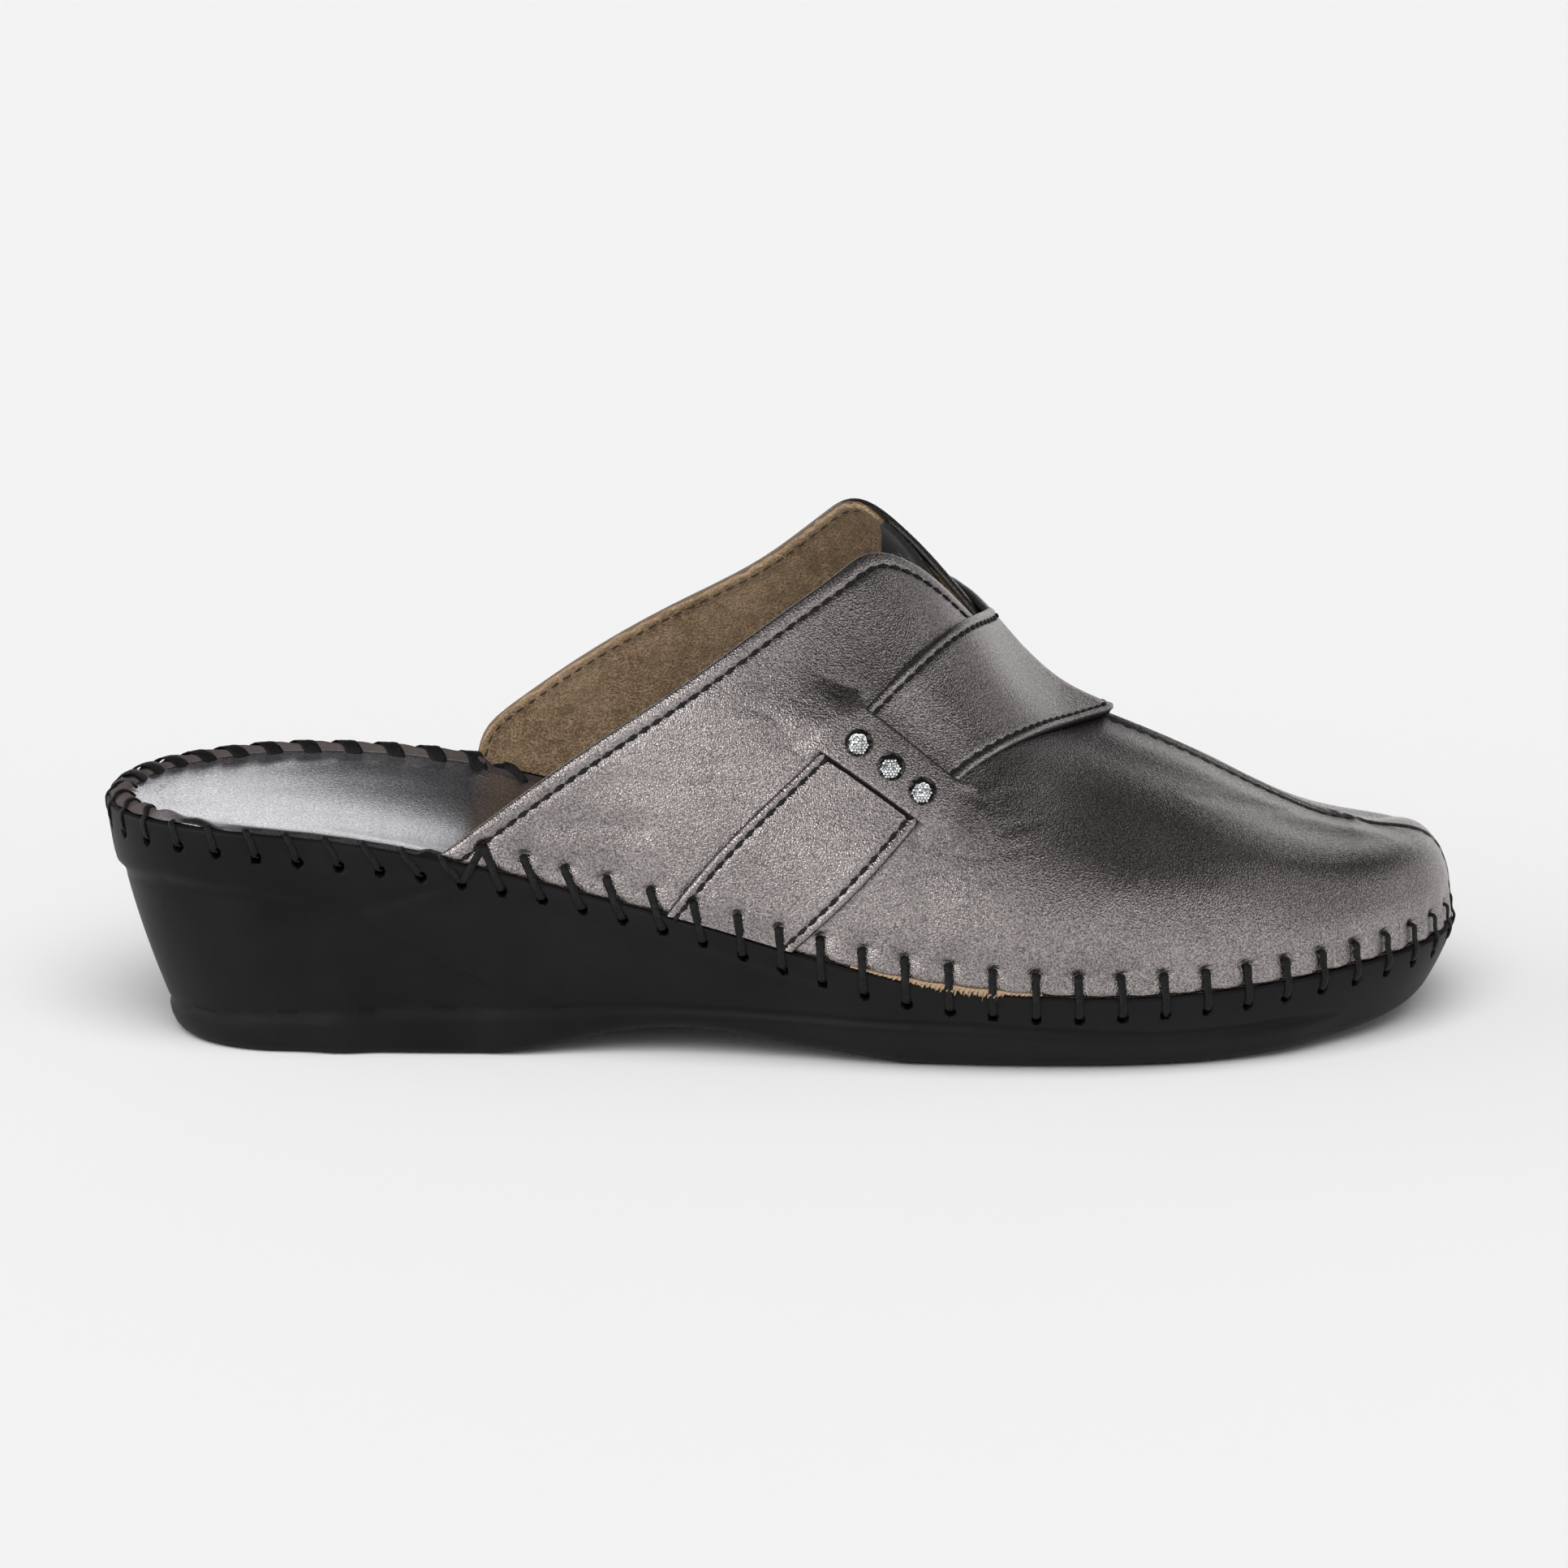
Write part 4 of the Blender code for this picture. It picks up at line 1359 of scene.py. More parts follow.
@dataclass
class Sole:
    """Moulded wedge sole: tapered wall with its relief and stitch holes, rim, tray and tread."""

    last: Last
    sewing: Sewing
    rim_proud: float = 0.6
    rim_width: float = 3.2
    rim_gap: float = 0.3
    tray_depth: float = 4.5
    tray_edge: float = 3.6
    wall_taper: float = 1.6
    tread_round: float = 1.8
    heel_dish: float = 2.4
    ball_dish: float = 1.0
    columns: int = 1120
    top_band: float = 7.2
    top_rows: int = 19
    wall_rows: int = 26
    hole_radius: float = 0.85
    hole_depth: float = 2.4
    tread_pitch: float = 9.0
    tread_depth: float = 1.1

    def ground(self, x: Array) -> Array:
        """Underside: flat on the floor under heel and ball, raised at the arch and the toe."""
        return np.maximum(self.last.curves["ground_z"](x), 0)

    def even_turns(self) -> Array:
        """Turns around the ring, alike on both sides, from the back of the heel by way of the outer side.

        Returns:
            The turns.
        """
        runs = np.linspace(0, self.last.seam_run[self.last.samples // 2], self.columns // 2 + 1)
        lateral = self.last.turn_of_run(runs)
        return np.concatenate([lateral, -lateral[-2:0:-1]])

    def sewn_turns(self) -> Array:
        """Turns around the ring, crowded around the stitch holes.

        Returns:
            The turns.
        """
        total = self.last.seam_run[-1]
        runs = self.last.spread(self.columns + 1, total, self.sewing.starts(), 1.2, 2.0)[:-1]
        return self.last.turn_of_run(runs)

    def wall_ring(self, turns: Array, height: Array) -> Array:
        """Ring of the wall at heights over the ground, with its relief.

        Args:
            turns: Turns around the ring.
            height: Heights over the ground there.

        Returns:
            Points of the ring.
        """
        seam = self.last.seam(turns)
        ground = self.ground(seam[:, 0])
        full = seam[:, 2] - self.rim_gap - ground
        level = np.clip(height / full, 0, 1)
        tuck = self.last.curves["tuck"](seam[:, 0]) * (1 - level) ** self.wall_taper - self.rim_proud * level
        tuck += edge_fall(height, self.tread_round) + 0.8 * edge_fall(full - height, 0.7)
        z = ground + height
        ring = self.last.inset(turns, tuck - self.relief(seam[:, 0], z))
        ring[:, 2] = self.ground(ring[:, 0]) + height
        return ring

    def relief(self, x: Array, z: Array) -> Array:
        """How far the moulded lines push the wall out.

        Args:
            x: Places along the foot.
            z: Heights there.

        Returns:
            Millimetres outwards.
        """
        out = np.zeros_like(x)
        for line, step, groove, width in RELIEFS:
            places, heights = (np.array(column, float) for column in zip(*line))
            away = z - np.interp(x, places, heights)
            fade = ease(x, places[0] - 4, places[0] + 6) * (1 - ease(x, places[-1] - 10, places[-1] + 2))
            out += fade * (step * (np.tanh(away / width) - 1) / 2 - groove * swell(away, width))
        return out

    def pits(self, turns: Array, below: Array) -> Array:
        """1 inside a stitch hole, falling to 0 around it, by distance along and below the seam line.

        Args:
            turns: Turns around the ring.
            below: Distances below the seam line.

        Returns:
            Depths from 0 to 1.
        """
        run = self.last.run_of_turn(turns)
        deep = np.zeros(run.shape)
        for stitch in self.sewing.stitches:
            far = np.hypot(run - stitch.start, (below - stitch.depth - 0.1) / 1.15)
            deep = np.maximum(deep, 1 - ease(far, self.hole_radius * 0.7, self.hole_radius * 1.15))
        return deep

    def tread(self, points: Array, share: Array) -> Array:
        """Height of the underside, with shallow wavy grooves across it.

        Args:
            points: Points between two sides of a ring.
            share: Their shares of the way across.

        Returns:
            Their heights.
        """
        x, y = points[..., 0], points[..., 1]
        wave = np.sin(2 * math.pi * (x + 3.0 * np.cos(y / 7.0)) / self.tread_pitch)
        inside = ease(share, 0.05, 0.12) * (1 - ease(share, 0.88, 0.95))
        ends = ease(x, -112, -104) * (1 - ease(x, 102, 112))
        waist = 1 - ease(x, -52, -44) * (1 - ease(x, 16, 26))
        return self.ground(x) + self.tread_depth * ease(wave, 0.35, 0.75) * inside * ends * waist

    def tray(self, points: Array, share: Array) -> Array:
        """Height of the tray under the footbed."""
        depth = np.interp(points[..., 0], (-84, 0, 84), (self.heel_dish, self.ball_dish, self.ball_dish))
        return points[..., 2] - depth * np.sin(math.pi * share) ** 2

    def build(self, material: Material) -> Object:
        """Builds the sole in place of its node.

        Args:
            material: Its finish.

        Returns:
            The sole.
        """
        even, sewn = self.even_turns(), self.sewn_turns()
        full = self.last.seam(sewn)[:, 2] - self.rim_gap - self.ground(self.last.place_at(sewn))
        shares = np.concatenate([[0, 0.006, 0.018, 0.04, 0.07], np.linspace(0.11, 1, self.wall_rows)])
        rings, marks = [], []
        for share in shares[:-1]:
            turns = even + (sewn - even) * ease(share, 0.1, 0.9)
            rings.append(self.wall_ring(turns, (full - self.top_band) * share))
            marks.append(np.zeros(len(turns)))
        for below in np.linspace(self.top_band, 0, self.top_rows):
            ring = self.wall_ring(sewn, full - below)
            # The stitch holes are dented and painted dark as their shade.
            pit = self.pits(sewn, np.full(len(sewn), below + self.rim_gap))
            rings.append(ring - self.last.outwards(sewn) * (self.hole_depth * pit)[:, None])
            marks.append(pit)
        # The rim's inner edge and the tray are painted dark as the shade where the footbed sits in the sole.
        for inset, depth in ((self.rim_width, self.rim_gap), (self.tray_edge, self.tray_depth)):
            ring = self.last.inset(even, np.full(len(even), inset))
            ring[:, 2] -= depth
            rings.append(ring)
            marks.append(np.ones(len(even)))
        body = ringed_body(np.array(rings), ((26, self.tread), (3, self.tray)))
        piece = make_piece("sole_moulding", body, material, {"pit": np.concatenate(marks)})
        return declare(piece, ["sole"])


@dataclass
class Footbed:
    """Leather-covered footbed: rolled over the rim around the heel and drawn in by the strands there."""

    last: Last
    sewing: Sewing
    sole: Sole
    lateral_end: float = -62.6
    medial_end: float = -54.5
    fade: float = 2.4
    profile_rows: int = 30
    low_side: Pair = (-119.0, -96.0)
    pucker: float = 0.42
    heel_pucker: float = 1.4
    ripple: float = 0.14
    # Painted shade on the footbed towards the throat, where the upper shades it.
    throat_shade: float = 0.62
    dark_throat: Pair = (-72.0, -46.0)
    fill_columns: int = 34
    dish: tuple[Pair, ...] = (
        (-112, 0.0),
        (-98, 0.7),
        (-84, 1.7),
        (-62, 3.0),
        (0, 2.6),
        (84, 1.2),
    )

    def lift(self, turns: Array) -> Array:
        """1 where the roll stands up over the rim, 0 along the outer side where the rim hides it."""
        x = self.last.place_at(turns)
        return np.where(turns < 0, 1 - ease(x, *self.low_side), 1.0)

    def steps(self) -> Array:
        """Places of the rings in the table of the edge."""
        return np.concatenate([[0, 1], np.linspace(1.6, 8, self.profile_rows)])

    def rings(self, turns: Array) -> Array:
        """Rings of the edge, from its hidden underside over the roll to the flat.

        Args:
            turns: Turns around the edge.

        Returns:
            Points by ring and turn.
        """
        steps = self.steps()
        rows = {name: Spline.column(FOOTBED_EDGE, name)(steps)[:, None] for name in EdgeRow._fields[1:]}
        x = self.last.place_at(turns)
        end = np.where(turns < 0, self.lateral_end, self.medial_end)
        rolled = ease(end - x, self.fade, 2 * self.fade)
        raised = ease(end - x, 0, self.fade)
        lift = self.lift(turns)
        bead_z = rows["low_z"] + (rows["bead_z"] - rows["low_z"]) * lift
        inset = rows["plain_inset"] + (rows["bead_inset"] - rows["plain_inset"]) * rolled
        flat = ease(steps, 5.5, 7.5)[:, None]
        raised = raised + (1 - ease(x, -95, -20) - raised) * flat
        height = rows["plain_z"] + (bead_z - rows["plain_z"]) * raised
        grid = self.last.seam(turns) - self.last.outwards(turns) * inset[..., None]
        grid[..., 2] += height
        return grid

    def drawn_in(self, turns: Array, rows: int) -> Array:
        """How far the roll bulges between the strands and sinks under them.

        Args:
            turns: Turns around the edge.
            rows: How many rings.

        Returns:
            Millimetres outwards by ring and turn.
        """
        x = self.last.place_at(turns)
        slack = self.sewing.slack(self.last.run_of_turn(turns))
        strength = (1 - ease(x, -66, -60)) * (1 + self.heel_pucker * (1 - ease(x, -121, -112)))
        over = np.sin(np.clip((np.arange(rows) - 2) / (rows - 6), 0, 1) * math.pi)
        return self.pucker * over[:, None] * (strength * (slack - 0.75))[None, :]

    def soiled(self, turns: Array) -> tuple[Array, Array]:
        """Marks of the roll: black along the outer rim as painted shade in the gap there, and rubbed dull
        around the heel.

        Args:
            turns: Turns around the edge.

        Returns:
            The black painted shade and the dull marks.
        """
        steps = self.steps()[:, None]
        lift = self.lift(turns)
        return 0.96 * (1 - ease(steps, 6.8, 7.8)) * (1 - lift), 0.97 * (1 - ease(steps, 6.5, 6.8)) * lift

    def seat(self, points: Array, share: Array) -> Array:
        """Height of the flat, dished, with faint ripples where the leather was drawn over the edge.

        Args:
            points: Points between two sides of a ring.
            share: Their shares of the way across.

        Returns:
            Their heights.
        """
        x, y = points[..., 0], points[..., 1]
        wave = np.sin(x / 7.0 + 0.6 * np.sin(y / 5.0)) * np.sin(y / 6.0 + 0.8)
        edge = np.minimum(share, 1 - share)
        depth = np.interp(x, *zip(*self.dish))
        bowl = depth * (1 - np.abs(2 * share - 1) ** 1.8)
        return points[..., 2] - bowl + self.ripple * wave * swell(edge - 0.1, 0.12)

    def build(self, material: Material) -> Object:
        """Builds the footbed in place of its node.

        Args:
            material: Its finish.

        Returns:
            The footbed.
        """
        even, sewn = self.sole.even_turns(), self.sole.sewn_turns()
        grid = self.rings(sewn)
        grid = grid + grid_normals(grid) * self.drawn_in(sewn, len(grid))[..., None]
        grid[-1] = self.rings(even)[-1]
        body = ringed_body(grid, ((3, self.sole.tray), (self.fill_columns, self.seat)))
        black, rubbed = self.soiled(sewn)
        # Painted shade towards the throat, and the black painted shade along the outer rim.
        pit = self.throat_shade * ease(body.points[:, 0], *self.dark_throat)
        pit[: black.size] = np.maximum(pit[: black.size], black.ravel())
        piece = make_piece("footbed", body, material, {"pit": pit, "raw": rubbed.ravel()})
        return declare(piece, ["insole"])


@dataclass
class Strap:
    """Saddle strap over the instep, from seam to seam, with a stitched line along each edge."""

    last: Last
    sewing: Sewing
    wall: float = 1.5
    gap: float = 0.3
    edge_radius: float = 0.75
    stitch_inset: float = 1.9
    pressed: float = 1.25
    press_slope: float = 0.14
    pressed_rises: Pair = (0.26, 0.39)
    hem_swell: float = 0.16
    groove: float = 0.2
    ripple: float = 0.08
    hole_dent: float = 0.3
    hole_depth: float = 0.6
    hem: tuple[float, ...] = (0, 0.12, 0.28, 0.5, 0.8, 1.2, 1.6, 1.9, 2.2, 2.6, 3.2, 4.0)
    middle: int = 24
    inner_step: int = 3
    back: Spline = field(init=False)
    front: Spline = field(init=False)

    def __post_init__(self) -> None:
        """Reads the table of edges."""
        self.back = Spline.column(STRAP, "back")
        self.front = Spline.column(STRAP, "front")

    def grid(self) -> tuple[Array, Array, Array]:
        """Turns, rises and distances from the nearer edge of the strap's points.

        Returns:
            The three grids, by row and column.
        """
        foot, rest = np.linspace(0, 0.12, 26)[:-1], np.linspace(0.12, 1, 100)
        sides, rises = over_ridge(np.concatenate([foot, rest]))
        back, front = self.back(rises), self.front(rises)
        rear = self.last.point(sides * self.last.turn_at(back), rises)
        fore = self.last.point(sides * self.last.turn_at(front), rises)
        width = np.linalg.norm(fore - rear, axis=1)
        slope = np.linalg.norm(np.cross(unit(np.gradient(rear, axis=0)), unit(fore - rear)), axis=1)
        across = (width * np.maximum(slope, 0.4))[:, None]
        hem = np.array(self.hem)[None, :] / across
        spread = np.linspace(0, 1, self.middle + 2)[1:-1][None, :]
        inner = hem[:, -1:] + (1 - 2 * hem[:, -1:]) * spread
        shares = np.concatenate([hem, inner, 1 - hem[:, ::-1]], axis=1)
        turns = sides[:, None] * self.last.turn_at(back[:, None] + (front - back)[:, None] * shares)
        return turns, np.broadcast_to(rises[:, None], turns.shape), np.minimum(shares, 1 - shares) * across

    def cover(self, turn: Array, rise: Array) -> Array:
        """Height of the strap's face over the upper, 0 beside it.

        Args:
            turn: Turns of the ribs.
            rise: Rises up them.

        Returns:
            Heights in millimetres.
        """
        x = self.last.place_at(turn)
        inside = np.minimum(x - self.back(rise), self.front(rise) - x)
        return (self.gap + self.wall) * ease(inside, -0.6, 0.8) * self.thinning(turn, rise)

    def thinning(self, turn: Array, rise: Array) -> Array:
        """Share of the strap's height that is left where it is skived down to the seam.

        Args:
            turn: Turns of the ribs.
            rise: Rises up them.

        Returns:
            Shares from one half to 1.
        """
        foot = self.last.point(turn, np.zeros_like(np.asarray(rise, float)))
        reach = np.linalg.norm(self.last.point(turn, rise) - foot, axis=-1)
        return 0.5 + 0.5 * ease(reach, 0.0, 5.0)

    def build(self, material: Material) -> tuple[Object, Lines]:
        """Builds the strap in place of its node.

        Args:
            material: Its finish.

        Returns:
            The strap, and the lines of its stitching.
        """
        turns, rises, edge = self.grid()
        thin = self.thinning(turns, rises)
        height = (self.gap + self.wall) * thin
        low, high = self.pressed_rises
        slope = self.press_slope
        held = ease(rises, low - slope, low) * (1 - ease(rises, high, high + slope)) * (turns < 0)
        height -= self.pressed * held + edge_fall(edge, self.edge_radius)
        height += self.hem_swell * np.sin(np.clip(edge / self.stitch_inset, 0, 1) * math.pi)
        height -= self.groove * swell(edge - self.stitch_inset, 0.36)
        height += self.ripple * np.sin(rises * 17.0 + turns * 9.0) * ease(edge, 3.0, 6.0)
        base = self.last.point(turns, rises)
        # The whip seam's holes are dented and painted dark as their shade.
        pit = np.zeros(turns.shape)
        end_turns, end_rises = self.sewing.upper_ends()
        for hole in self.last.point(end_turns, end_rises):
            far = np.linalg.norm(base - hole, axis=-1)
            pit = np.maximum(pit, 1 - ease(far, 0.5, 1.1))
            height -= self.hole_dent * swell(far, 1.8)
        height -= self.hole_depth * pit
        outer = self.last.offset(turns, rises, height)
        inner = self.last.offset(turns, rises, np.minimum(self.gap, height - 0.2))
        body = closed_sheet(outer, inner, self.inner_step)
        # Dark edge paint with painted shade at the cut edges, and painted shade in the stitch groove.
        cut = np.maximum(0.95 * swell(edge, 0.25), 0.8 * swell(edge - self.stitch_inset, 0.26))
        # The underside is painted black as the shade under the strap.
        marks = {
            "pit": inner_marks(np.maximum(pit, cut), self.inner_step, 1.0),
            "wrinkle": inner_marks(0.15 * ease(edge, 2.0, 5.0), self.inner_step, 0.0),
        }
        rows = Lines()
        normals = self.last.normal(turns, rises)
        for column in (self.hem.index(self.stitch_inset), -1 - self.hem.index(self.stitch_inset)):
            rows.add(outer[:, column] + normals[:, column] * 0.2, normals[:, column])
        return declare(make_piece("saddle_strap", body, material, marks), ["strap"]), rows


class Slit(NamedTuple):
    """Rise of a slit at the strap's back edge and at its front edge."""

    back: float
    front: float


@dataclass
class Keeper:
    """Bridge of the upper's own leather over the outer side of the strap, with three punched holes."""

    last: Last
    strap: Strap
    low_slit: Slit = Slit(0.288, 0.253)
    high_slit: Slit = Slit(0.391, 0.373)
    foot: float = 0.8
    margin: float = 0.03
    wall: float = 0.4
    clearance: float = 0.1
    flare: float = 0.3
    sink: float = 0.25
    rows: int = 44
    columns: int = 150
    half_width: float = 4.0
    inner_step: int = 2
    sharp_deg: float = 40.0
    # Rows beyond the slits: a lip that is painted black as the shade along them.
    low_cut: tuple[float, ...] = (-0.135, -0.12, -0.09, -0.05, -0.015)
    high_cut: tuple[float, ...] = (1.005, 1.012, 1.02)
    hole_radius: float = 2.55
    hole_sides: int = 48
    hole_shares: tuple[float, ...] = (0.19, 0.53, 0.85)
    hole_row: float = 0.44
    wrinkle_reach: tuple[Pair, ...] = ((-0.10, 13.0), (1.12, 15.0))
    # Depth of the painted shade round the bridge's feet.
    wrinkle_shade: float = 0.3

    def place(self, across: Array, along: Array) -> tuple[Array, Array]:
        """Place along the foot and rise: across from slit to slit, along the strap's width.

        Args:
            across: Shares of the way from the low slit to the high one.
            along: Shares of the way from the strap's back edge to its front edge.

        Returns:
            Places and rises.
        """
        low = self.low_slit.back + (self.low_slit.front - self.low_slit.back) * along
        high = self.high_slit.back + (self.high_slit.front - self.high_slit.back) * along
        rise = low + (high - low) * across
        back, front = self.strap.back(rise), self.strap.front(rise)
        return back + (front - back) * along, rise

    def lift(self, along: Array) -> Array:
        """1 where the bridge passes over the strap, falling to 0 where its feet run out into the upper."""
        past = np.maximum(-along, along - 1)
        return 1 - ease(past, -self.margin, self.foot)

    def from_foot(self, points: Array, along: float) -> Array:
        """Distance of points on the last from where a foot of the bridge begins."""
        place, rise = self.place(np.array(0.5), np.array(along))
        return np.linalg.norm(points - self.last.point(-self.last.turn_at(place), rise), axis=-1)

    def wrinkled(self, points: Array) -> Array:
        """How far the leather is drawn into wrinkles: 1 at the bridge's feet, less further off."""
        around = [swell(self.from_foot(points, along), reach) for along, reach in self.wrinkle_reach]
        return np.clip(sum(around), 0, 1)

    def top(self) -> float:
        """Height of the bridge's face over the upper."""
        return self.strap.gap + self.strap.wall - self.strap.pressed + self.clearance + self.wall

    def seat(self, share: float) -> tuple[Array, Array]:
        """Centre of a hole on the strap's face, and the direction that it faces.

        Args:
            share: Where the hole lies along the bridge.

        Returns:
            The centre and the direction.
        """
        place, rise = self.place(np.array(self.hole_row), np.array(share))
        turn = -self.last.turn_at(place)
        facing = self.last.normal(turn, rise)
        return self.last.offset(turn, rise, self.strap.gap + self.strap.wall - self.strap.pressed), facing

    def cutter(self, share: float) -> Object:
        """Cylinder that punches one hole.

        Args:
            share: Where the hole lies along the bridge.

        Returns:
            The cylinder.
        """
        seat, facing = self.seat(share)
        work = bmesh.new()
        radius = self.hole_radius * MM
        sizes = {"radius1": radius, "radius2": radius, "depth": 6 * self.wall * MM}
        bmesh.ops.create_cone(work, cap_ends=True, segments=self.hole_sides, **sizes)
        turn = Vector(facing).to_track_quat("Z", "Y").to_matrix().to_4x4()
        turn.translation = Vector(to_row(seat))
        bmesh.ops.transform(work, matrix=turn, verts=work.verts)
        mesh = bpy.data.meshes.new("hole")
        work.to_mesh(mesh)
        work.free()
        return make_object("hole", mesh)

    def build(self, material: Material) -> Object:
        """Builds the bridge in place of its node.

        Args:
            material: Its finish.

        Returns:
            The bridge.
        """
        along_row = np.linspace(-self.foot, 1 + self.foot, self.columns)
        rows = np.concatenate([self.low_cut, np.linspace(0, 1, self.rows), self.high_cut])
        across, along = np.meshgrid(rows, along_row, indexing="ij")
        past = np.maximum(-along, along - 1)
        out = ease(past, 0.0, self.foot * 0.35)
        side = np.minimum(np.abs(2 * across - 1), 1)
        beyond = np.maximum(-across, across - 1)
        places, rises = self.place(across + (across - 0.5) * 2 * self.flare * out, along)
        turns = -self.last.turn_at(places)
        fall = out * ease(side, 0.2, 1.0)
        lift = self.lift(along) * (1 - fall)
        edge = (1 - side) * self.half_width
        height = (self.top() + self.sink) * lift - self.sink - (1 - out) * edge_fall(edge, 0.35)
        drop = (self.clearance + self.wall - 0.1) * ease(beyond, 0.0, -float(self.low_cut[0]))
        height -= np.where(beyond > 0, drop * (1 - out), 0)
        outer = self.last.offset(turns, rises, height)
        inner = self.last.offset(turns, rises, height - self.wall)
        body = closed_sheet(outer, inner, self.inner_step)
        # Painted shade with black edge paint: a dark lip along the slits and on the cut edges over the strap.
        rim = (1 - ease(past, -0.02, 0.05)) * np.maximum(swell(edge, 0.06), beyond > 1e-6)
        rim *= np.where(across > 0.5, 0.5, 1.0)
        drawn = self.wrinkled(self.last.point(turns, rises)) * ease(past, 0.0, 0.3)
        # Painted shade round the bridge's feet, where the leather is drawn into wrinkles.
        pit = np.maximum(rim, self.wrinkle_shade * drawn)
        # The underside over the strap is painted black as the shade beneath it.
        marks = {
            "pit": inner_marks(pit, self.inner_step, 1 - ease(past, -0.02, 0.05)),
            "wrinkle": inner_marks(drawn, self.inner_step, 0.0),
        }
        piece = make_piece("keeper_bridge", body, material, marks)
        cutters = [self.cutter(share) for share in self.hole_shares]
        for cutter in cutters:
            hole = piece.modifiers.new(cutter.name, "BOOLEAN")
            hole.object = cutter
            hole.operation = "DIFFERENCE"
            hole.solver = "EXACT"
        apply_modifiers(piece)
        piece.data.set_sharp_from_angle(angle=math.radians(self.sharp_deg))
        for cutter in cutters:
            bpy.data.objects.remove(cutter)
        self.darken_holes(piece.data, -0.1)
        return declare(piece, ["keeper"])

    def darken_holes(self, mesh: Mesh, inside: float) -> None:
        """Paints shade round a hole's wall, from so far inside it, as dark as the slits: the shade of the
        hole's recess.

        Args:
            mesh: Mesh of the bridge.
            inside: Distance from the wall, negative inside the hole.
        """
        points = np.empty(len(mesh.vertices) * 3)
        mesh.vertices.foreach_get("co", points)
        points = points.reshape(-1, 3)
        values = np.zeros(len(points), np.float32)
        layer = mesh.attributes["pit"]
        layer.data.foreach_get("value", values)
        for share in self.hole_shares:
            seat, facing = self.seat(share)
            away = points / MM - ROW_SHIFT - seat
            up = away @ facing
            round_it = np.linalg.norm(away - up[:, None] * facing, axis=1)
            past = round_it - self.hole_radius
            dark = np.where(past > inside, swell(np.maximum(past, 0.0), 0.04), 0.0)
            values = np.maximum(values, dark * (np.abs(up) < 4 * self.wall))
        layer.data.foreach_set("value", values.astype(np.float32))


@dataclass
class Crystals:
    """Three mirror-backed discs set with small cut stones, low in the keeper's holes."""

    keeper: Keeper
    radius: float = 2.12
    shift: float = 0.36
    dome: float = 0.3
    spacing: float = 0.56
    girdle: float = 0.62
    height: float = 0.30
    tilt: float = 0.18
    down: Triple = (-0.4, 0.0, -1.0)
    disc_sides: int = 28
    disc_sink: float = 0.12
    seed: int = 7

    def build(self, material: Material) -> None:
        """Builds the discs in place of their nodes.

        Args:
            material: Their finish.
        """
        tool = stone_tool()
        down = np.array(self.down)
        spots = self.spots()
        lift = self.dome * (1 - (spots**2).sum(axis=1) / self.radius**2)
        local = np.column_stack([spots, lift])
        tilt = np.column_stack([self.tilt * spots, np.ones(len(spots))])
        for number, share in enumerate(self.keeper.hole_shares, 1):
            seat, facing = self.keeper.seat(share)
            seat = seat + self.shift * unit(down - facing * (down @ facing))
            turn = np.array(Vector(facing).to_track_quat("Z", "Y").to_matrix())
            stones = Lines()
            stones.add(seat + local @ turn.T, tilt @ turn.T)
            sizes = {"Girdle": self.girdle, "Height": self.height, "Seed": self.seed + number}
            piece = tool.run(f"crystal_stones_{number}", stones, material, sizes)
            self.add_disc(piece, seat, turn)
            declare(piece, [f"crystal_{number}"])

    def spots(self) -> Array:
        """Places of the stones on the disc, packed in rows.

        Returns:
            Places across the disc in millimetres.
        """
        steps = np.arange(-6, 7)
        column, row = np.meshgrid(steps, steps)
        x = (column + 0.5 * (row % 2)) * self.spacing
        spots = np.column_stack([x.ravel(), (row * self.spacing * math.sqrt(3) / 2).ravel()])
        return spots[np.hypot(*spots.T) < self.radius - self.spacing * 0.35]

    def add_disc(self, piece: Object, seat: Array, turn: Array) -> None:
        """Joins the domed base under the stones to them.

        Args:
            piece: The stones.
            seat: Centre of the disc.
            turn: Matrix that turns the disc to the way it faces.
        """
        work = bmesh.new()
        work.from_mesh(piece.data)
        count = self.disc_sides
        angles = np.arange(count) * 2 * math.pi / count
        circle = np.column_stack([np.cos(angles), np.sin(angles)])
        rings = ((1.0, -0.1), (1.0, 0.0), (0.7, self.dome * 0.45), (0.0, self.dome * 0.8))
        before = None
        for share, height in rings:
            radius = self.radius * share
            local = np.column_stack([circle * radius, np.full(count, height - self.disc_sink)])
            points = to_row(seat + local @ turn.T)
            ring = [work.verts.new(point) for point in (points if radius else points[:1])]
            if before is not None:
                for k in range(count):
                    after = [ring[(k + 1) % count], ring[k]] if radius else [ring[0]]
                    work.faces.new([before[k], before[(k + 1) % count], *after])
            else:
                work.faces.new(ring[::-1])
            before = ring
        work.to_mesh(piece.data)
        work.free()


